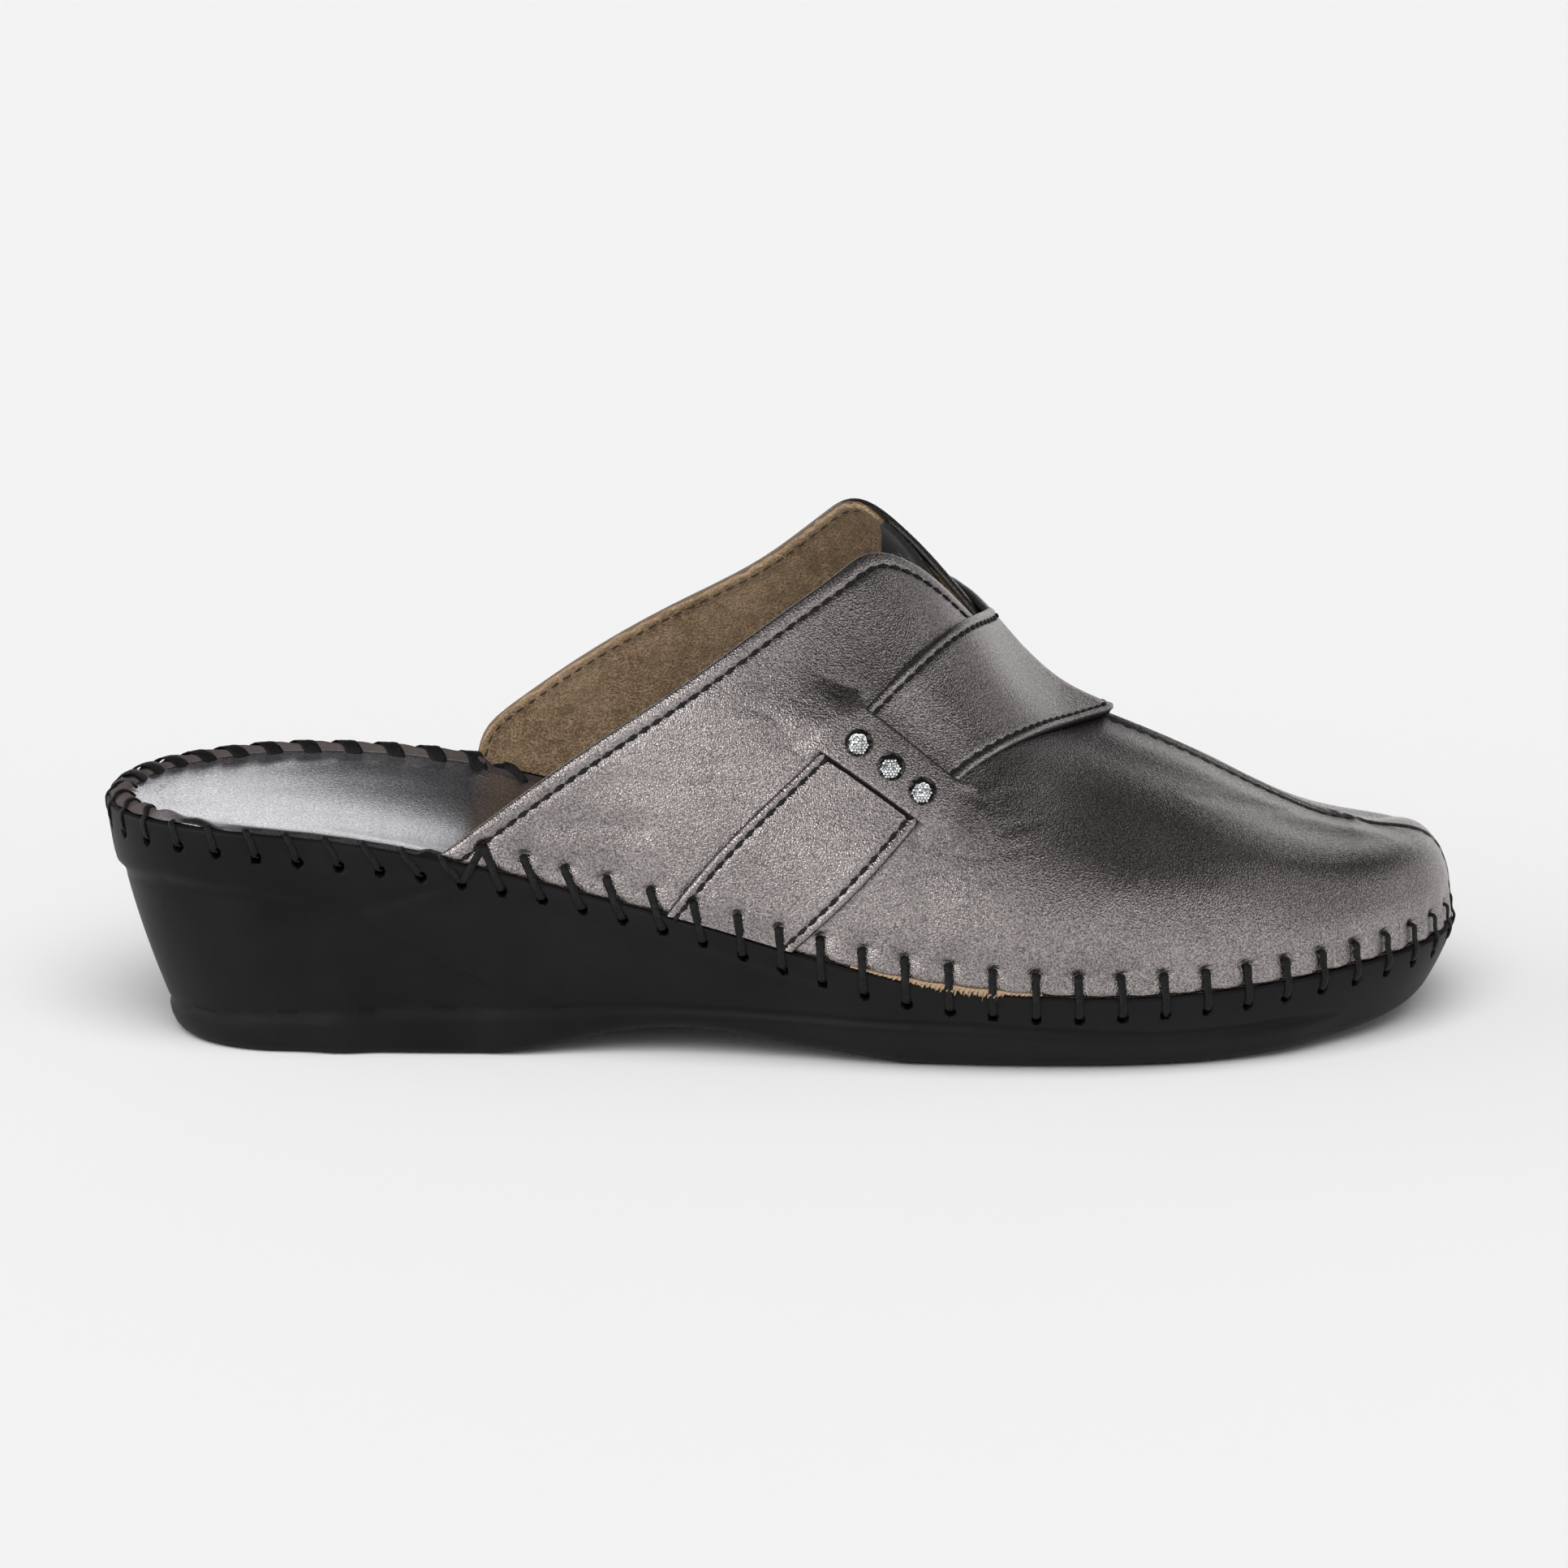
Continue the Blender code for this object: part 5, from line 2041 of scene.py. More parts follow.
@dataclass
class Upper:
    """Hollow upper: coated leather from the collar to the toe, and the napped lining behind it."""

    last: Last
    sewing: Sewing
    strap: Strap
    keeper: Keeper
    wall: float = 1.1
    lining_gap: float = 0.05
    lining_wall: float = 0.85
    edge_radius: float = 0.6
    stitch_inset: float = 3.0
    lining_inset: float = 1.6
    lining_turn_in: float = 2.2
    lining_hem: tuple[float, ...] = (0.35, 0.7, 1.2, 1.9, 2.6, 3.3, 4.2)
    lining_hidden: float = 2.4
    lining_fray: float = 0.13
    throat: Pair = (0.72, 0.80)
    hem_swell: float = 0.2
    groove: float = 0.2
    pucker: float = 0.45
    toe_pucker: float = 1.1
    hole_dent: float = 0.6
    hole_depth: float = 0.45
    welt: float = 0.25
    welt_groove: float = 0.16
    foot_pull: float = 0.3
    foot_reach: float = 6.0
    hem: tuple[float, ...] = (0, 0.15, 0.35, 0.6, 1.0, 1.6, 2.2, 2.7, 3.0, 3.3, 3.8, 4.6)
    columns: int = 230
    inner_step: int = 3
    seam_start: float = 57.0
    seam_shift: float = 2.2
    seam_spread: float = 0.8
    stitch_lift: float = 0.2
    # Depth of the painted shade in front of the strap.
    strap_shade: float = 0.55
    collars: dict[Side, Spline] = field(init=False)

    def __post_init__(self) -> None:
        """Reads the table of the collar."""
        self.collars = {side: Spline.column(COLLAR, side.name.lower()) for side in Side}

    def rows(self, fine: bool) -> tuple[Array, Array]:
        """Sides and rises from the outer seam over the ridge to the inner seam.

        Args:
            fine: Whether the rows lie closer at the seam and at the ridge.

        Returns:
            Side and rise of each row.
        """
        if fine:
            spans = (np.arange(0, 0.2, 0.005), np.linspace(0.2, 0.925, 72), np.linspace(0.93, 1, 16))
            return over_ridge(np.concatenate(spans))
        return over_ridge(np.linspace(0, 1, 130))

    def collar_turns(self, sides: Array, rises: Array) -> tuple[Array, Array]:
        """Turn of the collar at each row, and the turn that one millimetre in from its edge takes.

        Args:
            sides: Side of each row.
            rises: Rise of each row.

        Returns:
            The turns without their signs, and the turn of a millimetre.
        """
        lateral, medial = self.collars[Side.LATERAL](rises), self.collars[Side.MEDIAL](rises)
        turns = self.last.turn_at(np.where(sides < 0, lateral, medial))
        edge = self.last.point(sides * turns, rises)
        ahead = self.last.point(sides * (turns - NUDGE), rises) - edge
        slope = np.linalg.norm(np.cross(unit(np.gradient(edge, axis=0)), unit(ahead)), axis=1)
        return turns, NUDGE / (np.linalg.norm(ahead, axis=1) * np.maximum(slope, 0.45))

    def grid(self) -> tuple[Array, Array, Array]:
        """Turns, rises and distances from the collar of the leather's points.

        Returns:
            The three grids, by row and column.
        """
        sides, rises = self.rows(fine=True)
        edge, per_mm = self.collar_turns(sides, rises)
        hem = np.array(self.hem)
        first = edge[:, None] - per_mm[:, None] * hem[None, :]
        even = np.linspace(0, 1, self.columns + 1)[1:]
        shares = {side: self.sewn_shares(side, float(first[row, -1])) for side, row in ((-1, 0), (1, -1))}
        free = ease(rises, 0.12, 0.55)[:, None]
        sewn = np.where(sides[:, None] < 0, shares[-1][None, :], shares[1][None, :])
        rest = first[:, -1:] * (1 - (sewn + (even[None, :] - sewn) * free))
        turns = sides[:, None] * np.concatenate([first, rest], axis=1)
        turns[:, -1] = 0.0
        from_edge = np.full(turns.shape, 2 * hem[-1])
        from_edge[:, : len(hem)] = hem
        return turns, np.broadcast_to(rises[:, None], turns.shape), from_edge

    def sewn_shares(self, side: int, start: float) -> Array:
        """Shares of the way from the hem to the toe, crowded around the holes of that side and at the toe.

        Args:
            side: -1 for the outer side and 1 for the inner side.
            start: Turn where the hem ends.

        Returns:
            Rising shares up to 1.
        """
        turns, _ = self.sewing.upper_ends()
        mine = np.abs(turns[turns * side > 0])
        middle = self.last.seam_run[self.last.samples // 2]
        holes = middle - self.last.run_of_turn(-mine)
        begin = middle - float(self.last.run_of_turn(np.array(-start)))
        crowd = np.concatenate([begin - holes, [begin, begin - 1.0]])
        runs = self.last.spread(self.columns + 1, begin, crowd, 1.1, 1.8)[1:]
        left = np.abs(self.last.turn_of_run(middle - (begin - runs)))
        return 1 - left / start

    def reaches(self, base: Array) -> tuple[Array, Array]:
        """Distances of each point from the seam line up its rib, and from the ridge to the outer side.

        Args:
            base: Points on the last.

        Returns:
            Both distances, by row and column.
        """
        steps = np.linalg.norm(np.diff(base, axis=0), axis=-1)
        run = np.concatenate([np.zeros((1, base.shape[1])), np.cumsum(steps, axis=0)])
        middle = len(base) // 2
        from_seam = np.minimum(run, run[-1] - run)
        return from_seam, run[middle] - run

    def sewn_height(self, base: Array, turns: Array, from_seam: Array) -> tuple[Array, Array]:
        """Height given by the whip seam, and 1 inside its holes.

        Args:
            base: Points on the last.
            turns: Their turns.
            from_seam: Their distances up from the seam line.

        Returns:
            Height over the last and the marks of the holes.
        """
        x = base[..., 0]
        toe = 1 + self.toe_pucker * ease(x, 92, 116)
        slack = self.sewing.slack(self.last.run_of_turn(turns))
        height = self.pucker * toe * (slack - 0.6) * swell(from_seam, 3.6)
        pit = np.zeros(turns.shape)
        near = from_seam < 14
        end_turns, end_rises = self.sewing.upper_ends()
        for hole in self.last.point(end_turns, end_rises):
            far = np.linalg.norm(base[near] - hole, axis=-1)
            pit[near] = np.maximum(pit[near], 1 - ease(far, 0.5, 1.05))
            height[near] -= self.hole_dent * swell(far, 2.1)
        return height - self.hole_depth * pit, pit

    def seam_place(self, x: Array) -> Array:
        """Distance of the vamp seam from the ridge towards the outer side."""
        return self.seam_shift * (1 - ease(x, 100, 112))

    def seam_height(self, base: Array, from_ridge: Array) -> Array:
        """Height of the welt that joins both halves of the vamp beside the ridge and down the toe.

        Args:
            base: Points on the last.
            from_ridge: Their distances from the ridge.

        Returns:
            Heights in millimetres.
        """
        to_toe = lengths_along(base[:, ::-1])[:, ::-1]
        away = np.minimum(np.abs(from_ridge - self.seam_place(base[..., 0])), to_toe)
        welt = self.welt * swell(away, 0.5) - self.welt_groove * swell(away - self.seam_spread, 0.35)
        return welt * ease(base[..., 0], self.seam_start - 3, self.seam_start)

    def creased(self, base: Array, turns: Array, rises: Array) -> Array:
        """Height given by the creases of the outer side and by the leather's own soft unevenness.

        Args:
            base: Points on the last.
            turns: Their turns.
            rises: Their rises.

        Returns:
            Heights in millimetres.
        """
        height = np.zeros(turns.shape)
        for line, depth, width in CREASES:
            knots = np.array(line)
            fine = np.linspace(0, 1, 9)
            marks = np.linspace(0, 1, len(knots))
            x, rise = np.interp(fine, marks, knots[:, 0]), np.interp(fine, marks, knots[:, 1])
            away = distance_to_line(base, self.last.point(-self.last.turn_at(x), rise))
            height += depth * (0.45 * swell(away - 1.9 * width, width) - swell(away, width))
        x = base[..., 0]
        wave = np.sin(x / 8.5 + 9.0 * rises + 1.1) * np.sin(rises * 21.0 - x / 19.0 + 0.4)
        slow = np.sin(x / 17.0 + 2.1) * np.sin(rises * 9.0 + 0.8)
        quarter = 1 - ease(x, 0, 40)
        away = np.sin(np.clip(rises, 0, 1) * math.pi)
        return height + away * (wave * (0.05 + 0.12 * quarter) + slow * (0.10 + 0.2 * quarter))

    def keeper_swell(self, base: Array) -> Array:
        """Height that the bridge's feet pull up around them."""
        feet = [self.keeper.from_foot(base, along) for along, _ in self.keeper.wrinkle_reach]
        return sum(self.foot_pull * swell(away, self.foot_reach) for away in feet)

    def build(self, leather: Material, suede: Material) -> dict[str, Lines]:
        """Builds the leather in place of its node, and the lining behind it.

        Args:
            leather: Finish of the coated face.
            suede: Finish of the lining.

        Returns:
            Lines of the stitching along the collar, the vamp seam and the lining's edge.
        """
        turns, rises, from_edge = self.grid()
        base = self.last.point(turns, rises)
        from_seam, from_ridge = self.reaches(base)
        sewn, pit = self.sewn_height(base, turns, from_seam)
        wrinkle = self.keeper.wrinkled(base)
        height = sewn + self.keeper_swell(base) + self.seam_height(base, from_ridge)
        height += self.creased(base, turns, rises) * ease(from_edge, 1.0, 6.0) * ease(from_seam, 0.0, 6.0)
        height -= edge_fall(from_edge, self.edge_radius) + edge_fall(from_seam, 0.45)
        height += self.hem_swell * np.sin(np.clip(from_edge / self.stitch_inset, 0, 1) * math.pi)
        height -= self.groove * swell(from_edge - self.stitch_inset, 0.42)
        outer = self.last.offset(turns, rises, height)
        inner = self.last.offset(turns, rises, -self.wall)
        for face in (outer, inner):
            fold_front(face)
        throat = ease(rises, *self.throat)
        # Painted shade on the vamp in front of the strap's front edge, where the strap shades it.
        ahead = np.abs(base[..., 0] - self.strap.front(rises))
        pit = np.maximum(pit, self.strap_shade * (1 - ease(ahead, 0.0, 11.0)) * ease(rises, 0.36, 0.5))
        # Painted shade round the bridge's feet, where the leather is drawn into wrinkles.
        pit = np.maximum(pit, self.keeper.wrinkle_shade * wrinkle)
        raw = 0.5 * swell(from_edge, 0.1) * (1 - ease(rises, 0.1, 0.3))
        # Dark edge paint with painted shade at the collar's cut edge, and painted shade in the stitch groove.
        groove = np.maximum(0.8 * swell(from_edge - self.stitch_inset, 0.28), 0.7 * swell(from_edge, 0.2))
        # The inner face is painted dark as shade towards the throat, and tan as raw flesh below it.
        marks = {
            "pit": inner_marks(np.maximum(pit, groove), self.inner_step, 0.85 * throat),
            "wrinkle": inner_marks(wrinkle, self.inner_step, 0.0),
            "raw": inner_marks(raw, self.inner_step, 0.9 * (1 - throat)),
        }
        body = closed_sheet(outer, inner, self.inner_step, folded=True)
        declare(make_piece("upper_leather", body, leather, marks), ["upper"])
        self.build_lining(suede)
        return self.stitch_lines(outer, turns, rises, from_seam)

    def build_lining(self, suede: Material) -> None:
        """Builds the napped lining, set back a little from the collar's edge.

        Args:
            suede: Its finish.
        """
        sides, rises = self.rows(fine=False)
        edge, per_mm = self.collar_turns(sides, rises)
        hem = np.array(self.lining_hem)
        throat = ease(rises, *self.throat)[:, None]
        at = np.arange(len(rises))
        waves = sum(np.sin(at * pace + start) for pace, start in ((1.9, 0.0), (4.7, 1.0), (0.7, 2.0)))
        fray = self.lining_fray * waves[:, None] * swell(hem, 1.2)
        inset = hem[None, :] + fray + self.lining_hidden * throat
        first = edge[:, None] - per_mm[:, None] * inset
        rest = first[:, -1:] * (1 - np.linspace(0, 1, 90)[None, 1:])
        turns = sides[:, None] * np.concatenate([first, rest], axis=1)
        heights = np.broadcast_to(rises[:, None], turns.shape)
        from_edge = np.full(turns.shape, 9.0)
        from_edge[:, : len(hem)] = hem
        depth = self.wall + self.lining_gap
        full = depth + self.lining_wall
        outer = self.last.offset(turns, heights, -depth)
        dip = 0.25 * swell(from_edge - 3.0, 0.5) + edge_fall(from_edge - 0.35, 0.5)
        inner = self.last.offset(turns, heights, dip - full)
        for face in (outer, inner):
            fold_front(face)
            face[[0, -1], :, 2] -= self.lining_turn_in
        body = closed_sheet(inner, outer, 2, folded=True)
        raw = 0.2 * swell(from_edge, 0.9) * (1 - throat)
        declare(make_piece("suede_lining", body, suede, {"raw": inner_marks(raw, 2, 0.2)}))

    def stitch_lines(self, outer: Array, turns: Array, rises: Array, from_seam: Array) -> dict[str, Lines]:
        """Lines of stitching along the collar, beside the vamp seam and along the lining's edge.

        Args:
            outer: Points of the coated face.
            turns: Their turns.
            rises: Their rises.
            from_seam: Their distances up from the seam line.

        Returns:
            The lines by name.
        """
        collar, vamp, lining = Lines(), Lines(), Lines()
        normals = self.last.normal(turns, rises)
        column = self.hem.index(self.stitch_inset)
        shown = from_seam[:, column] > 1.6
        line, facing = outer[shown, column], normals[shown, column]
        collar.add(line + facing * self.stitch_lift, facing)
        depth = self.wall + self.lining_gap + self.lining_wall + 0.02
        column = self.hem.index(self.lining_inset)
        for side in Side:
            vamp.add(*self.beside_ridge(side))
            shown = (turns[:, column] * side.value > 0) & (rises[:, column] < 0.7)
            shown &= from_seam[:, column] > 1.6
            place = turns[shown, column], rises[shown, column]
            lining.add(self.last.offset(*place, -depth), -normals[shown, column])
        return {"collar": collar, "vamp": vamp, "lining": lining}

    def beside_ridge(self, side: Side) -> tuple[Array, Array]:
        """Line beside the vamp seam on one side, from under the strap over the toe, and the way it faces.

        Args:
            side: Side of the seam.

        Returns:
            Points of the line and their directions.
        """
        turns = np.linspace(self.last.turn_at(self.seam_start + 2), 0.012, 160)
        ridge = self.last.point(turns, np.ones(len(turns)))
        reach = self.seam_place(ridge[:, 0]) - side.value * self.seam_spread
        turns = np.where(reach < 0, turns, -turns)
        rises = np.linspace(0.8, 1, 201)
        ribs = self.last.point(turns[:, None], rises[None, :])
        runs = lengths_along(ribs[:, ::-1])[:, ::-1]
        rise = np.array([np.interp(-far, -run, rises) for far, run in zip(np.abs(reach), runs)])
        down = np.linspace(rise[-1], 0.10, 60)[1:]
        toe_turns = np.array([self.toe_turn(side, r) for r in down])
        all_turns, all_rises = np.concatenate([turns, toe_turns]), np.concatenate([rise, down])
        facing = self.last.normal(all_turns, all_rises)
        return self.last.offset(all_turns, all_rises, self.stitch_lift - 0.25), facing

    def toe_turn(self, side: Side, rise: float) -> float:
        """Turn that lies the spread of the seam's stitches beside the toe rib at one rise.

        Args:
            side: Side of the seam.
            rise: The rise.

        Returns:
            The turn.
        """
        turns = side.value * np.linspace(0, 0.08, 60)
        run = lengths_along(self.last.point(turns, np.full(60, rise)))
        return float(np.interp(self.seam_spread, run, turns))


@dataclass
class Gore:
    """Elastic gore under the throat, with cords that run down the slope."""

    last: Last
    back: float = 18.8
    front: float = 50.0
    dip: float = 15.0
    low: float = 0.60
    depth: float = 1.25
    wall: float = 1.1
    sag: float = 3.0
    cords: int = 34
    cord_width: float = 0.95
    cord_height: float = 0.45

    def build(self, material: Material) -> None:
        """Builds the elastic in place of its node, and its cords on the outer face.

        Args:
            material: Finish of both.
        """
        sides, rises = over_ridge(np.linspace(self.low, 1, 24))
        back = self.back + self.dip * ease(rises, 0.74, 0.95)[:, None]
        places = back + (self.front - back) * np.linspace(0, 1, 26)[None, :]
        turns = sides[:, None] * self.last.turn_at(places)
        heights = np.broadcast_to(rises[:, None], turns.shape)
        depth = self.depth + self.sag * ease(heights, 0.80, 0.97) * (1 - ease(places, 42, 50))
        outer = self.last.offset(turns, heights, -depth)
        inner = self.last.offset(turns, heights, -depth - self.wall)
        sheet = make_piece("elastic_gore", closed_sheet(outer, inner, 1), material)
        declare(sheet, ["gore"])
        cords = Lines()
        spots = np.linspace(0.02, 0.98, self.cords) * (len(rises) - 1)
        normals = self.last.normal(turns, heights)
        for spot in spots:
            low = int(spot)
            share = spot - low
            line = outer[low] * (1 - share) + outer[min(low + 1, len(outer) - 1)] * share
            cords.add(line, normals[low])
        sizes = {"Width": self.cord_width, "Thickness": self.cord_height, "Sides": 8}
        declare(strand_tool().run("elastic_cords", cords, material, sizes))


@dataclass
class WhipSeam:
    """Strands of waxed thread from the sole's holes over the rim, into the upper or over the roll."""

    last: Last
    sewing: Sewing
    sole: Sole
    footbed: Footbed
    strap: Strap
    width: float = 1.5
    thickness: float = 0.55
    bead_width: float = 3.0
    bead_thickness: float = 0.5
    rim_width: float = 1.3
    rim_thickness: float = 0.42
    full_lift: float = 0.85
    sides: int = 10
    steps: int = 20

    def sole_part(self, stitch: Stitch) -> list[Array]:
        """Points from inside the sole's hole up its wall.

        Args:
            stitch: The stitch.

        Returns:
            The points in order.
        """
        lift = self.thickness / 2
        share = np.array([0.0, 0.12, 0.5])
        runs = stitch.start + (stitch.cross - stitch.start) * share
        turns = self.last.turn_of_run(runs)
        below = stitch.depth * (1 - share)
        points = []
        for turn, depth, out in zip(turns, below, (-2.2, 0.0, lift * 0.8)):
            seam = self.last.seam(turn)
            ground = self.sole.ground(seam[0])
            ring = self.sole.wall_ring(np.array([turn]), np.array([seam[2] - depth - ground]))[0]
            points.append(ring + self.last.outwards(turn) * out)
        return points

    def upper_part(self, stitch: Stitch) -> list[Array]:
        """Points from the rim up the upper into its hole.

        Args:
            stitch: The stitch.

        Returns:
            The points in order.
        """
        lift = self.thickness / 2
        rim = self.last.turn_of_run(stitch.cross)
        points = [self.last.seam(rim) + self.last.outwards(rim) * (self.sole.rim_proud + 0.7 * lift)]
        for share, out in ((0.25, 1.2 * lift), (0.6, 0.8 * lift), (0.93, lift * 0.2), (1.0, -1.4)):
            run = stitch.cross + (stitch.end - stitch.cross) * share
            turn = self.last.turn_of_run(np.array([run]))
            rise = self.last.rise_at(turn, self.sewing.upper_reach * share)
            cover = self.strap.cover(turn, rise)
            points.append(self.last.offset(turn, rise, cover + out)[0])
        return points

    def bead_part(self, stitch: Stitch) -> list[Array]:
        """Points from the rim over the footbed's roll into the flat inside it.

        Args:
            stitch: The stitch.

        Returns:
            The points in order.
        """
        lift = self.bead_thickness / 2
        turn = np.array([self.last.turn_of_run(stitch.cross)])
        profile = self.footbed.rings(turn)[:, 0]
        middle = profile.mean(axis=0)
        points = []
        lifted = float(self.footbed.lift(turn)[0])
        rim = self.last.outwards(turn)[0]
        for out, height in ((self.sole.rim_proud + 0.5 * lift, -0.7), (self.sole.rim_proud - 0.3, 0.0)):
            points.append(self.last.seam(turn)[0] + rim * out + np.array([0, 0, height]))
        picks = np.linspace(8, 8 + (len(profile) - 14) * (0.4 + 0.6 * lifted), 6).astype(int)
        for pick, share in zip(picks, np.linspace(0, 1, 6)):
            run = stitch.cross + (stitch.end - stitch.cross) * share
            here = self.footbed.rings(np.array([self.last.turn_of_run(run)]))[:, 0]
            out = unit(here[pick] - here[picks].mean(axis=0) + np.array([0, 0, 0.9]))
            points.append(here[pick] + out * lift * 0.3)
        points.append(points[-1] * 0.7 + middle * 0.3 - np.array([0, 0, 2.2]))
        return points

    def rim_part(self, stitch: Stitch) -> list[Array]:
        """Points over the rim of the outer side, down behind it.

        Args:
            stitch: The stitch.

        Returns:
            The points in order.
        """
        proud = self.sole.rim_proud
        points = []
        steps = ((0, -proud - 0.2, -0.9), (0.15, 0.2 - proud, 0.0), (0.3, 0.9, 0.1), (0.5, 2.6, -1.8))
        for share, inset, height in steps:
            run = stitch.cross + (stitch.end - stitch.cross) * share
            place = self.last.inset(self.last.turn_of_run(run), np.array(inset))
            points.append(place + np.array([0, 0, height]))
        return points

    def strand(self, points: list[Array], core: tuple[Array, Array] | None = None) -> tuple[Array, Array]:
        """Smooth line through the points, and the way its flat side faces: away from a core if given.

        Args:
            points: Points that it passes.
            core: A point of the core and the way it runs.

        Returns:
            Points of the line and their directions.
        """
        knots = np.array(points)
        at = lengths_along(knots)
        fine = np.linspace(0, at[-1], self.steps)
        line = np.column_stack([Spline(at, knots[:, axis])(fine) for axis in range(3)])
        along = unit(np.gradient(line, axis=0))
        bend = np.broadcast_to(unit(knots[len(knots) // 2] - (knots[0] + knots[-1]) / 2), line.shape)
        if core is not None:
            middle, way = core
            bend = unit(line - middle - ((line - middle) @ way)[:, None] * way)
        return line, unit(bend - along * (along * bend).sum(axis=1)[:, None])

    def rim_core(self, stitch: Stitch) -> tuple[Array, Array]:
        """Middle of the rim and of the roll over it, where a strand crosses them, and the way they run.

        Args:
            stitch: The stitch.

        Returns:
            The point and the direction.
        """
        turn = self.last.turn_of_run(stitch.cross)
        middle = self.last.inset(turn, np.array(2.2)) - np.array([0, 0, 0.9])
        return middle, np.cross(self.last.outwards(turn), (0, 0, 1))

    def build(self, material: Material) -> None:
        """Builds the strands over the upper, over the roll and over the bare rim as three pieces.

        Args:
            material: Finish of the thread.
        """
        lines, roll, rim = Lines(), Lines(), Lines()
        stitches = self.sewing.stitches
        for stitch in stitches:
            points = self.sole_part(stitch)
            turn = self.last.turn_of_run(np.array([stitch.cross]))
            if stitch.over_upper:
                lines.add(*self.strand(points + self.upper_part(stitch)))
            elif self.footbed.lift(turn)[0] > self.full_lift:
                strands = roll if turn[0] > 0 else rim
                strands.add(*self.strand(points + self.bead_part(stitch), self.rim_core(stitch)))
            else:
                rim.add(*self.strand(points + self.rim_part(stitch)))
        for before, after in zip(stitches, stitches[1:]):
            if before.over_upper != after.over_upper:
                corner, sewn = (before, after) if after.over_upper else (after, before)
                turned = corner._replace(cross=(corner.start + sewn.end) / 2, end=sewn.end)
                lines.add(*self.strand(self.sole_part(turned) + self.upper_part(turned)))
        tool = strand_tool()
        for name, strands, width, thickness in (
            ("whip_seam_thread", lines, self.width, self.thickness),
            ("heel_roll_thread", roll, self.bead_width, self.bead_thickness),
            ("heel_rim_thread", rim, self.rim_width, self.rim_thickness),
        ):
            sizes = {"Width": width, "Thickness": thickness, "Sides": self.sides}
            declare(tool.run(name, strands, material, sizes))


@dataclass
class TopStitching:
    """Machine stitching along the collar, the strap's edges and the vamp seam."""

    pitch: float = 2.7
    length: float = 2.5
    width: float = 0.6
    height: float = 0.5
    hole: float = 1.0

    def build(self, name: str, rows: Lines, material: Material) -> None:
        """Builds the stitches of some lines as one piece."""
        sizes = zip(STITCH_SIZES, (self.pitch, self.length, self.width, self.height, self.hole))
        declare(stitch_row_tool().run(name, rows, material, dict(sizes)))


@dataclass
class RawEdge:
    """Frayed flesh edge of the leather that shows above the rim on the outer side."""

    last: Last
    start: float = 12.0
    end: float = 47.0
    thickest: float = 33.0
    drop: float = 1.7
    proud: float = 0.9
    rows: int = 9
    columns: int = 420

    def build(self, material: Material) -> None:
        """Builds the strip.

        Args:
            material: Its finish.
        """
        x = np.linspace(self.start, self.end, self.columns)
        turns = -self.last.turn_at(x)
        taper = ease(x, self.start, self.thickest) * (1 - ease(x, self.end - 5, self.end))
        taper *= 1 - 0.75 * ease(x, self.thickest + 5, self.thickest + 8)
        fray = np.sin(x * 5.1) + np.sin(x * 11.7 + 1.0) + np.sin(x * 2.3 + 0.5) + 0.8 * np.sin(x * 19.0 + 2.0)
        low = -self.drop * taper * (0.65 + 0.16 * fray) - 0.1
        share = np.linspace(0, 1, self.rows)[:, None]
        bulge = np.sin(share * math.pi) ** 0.7
        ragged = 1 + 0.35 * np.sin(x[None, :] * 7.3 + share * 9.0)
        out = -0.5 + (self.proud + 0.5) * bulge * ragged * (0.35 + 0.65 * taper)
        face = self.last.seam(turns) + self.last.outwards(turns) * out[..., None]
        face[..., 2] += 0.35 + (low - 0.35) * share
        back = self.last.seam(turns) - self.last.outwards(turns) * np.full(out.shape, 0.8)[..., None]
        back[..., 2] = face[..., 2]
        marks = {"raw": inner_marks(np.full(out.shape, 0.75), 1, 0.3)}
        declare(make_piece("raw_leather_edge", closed_sheet(face, back, 1), material, marks))


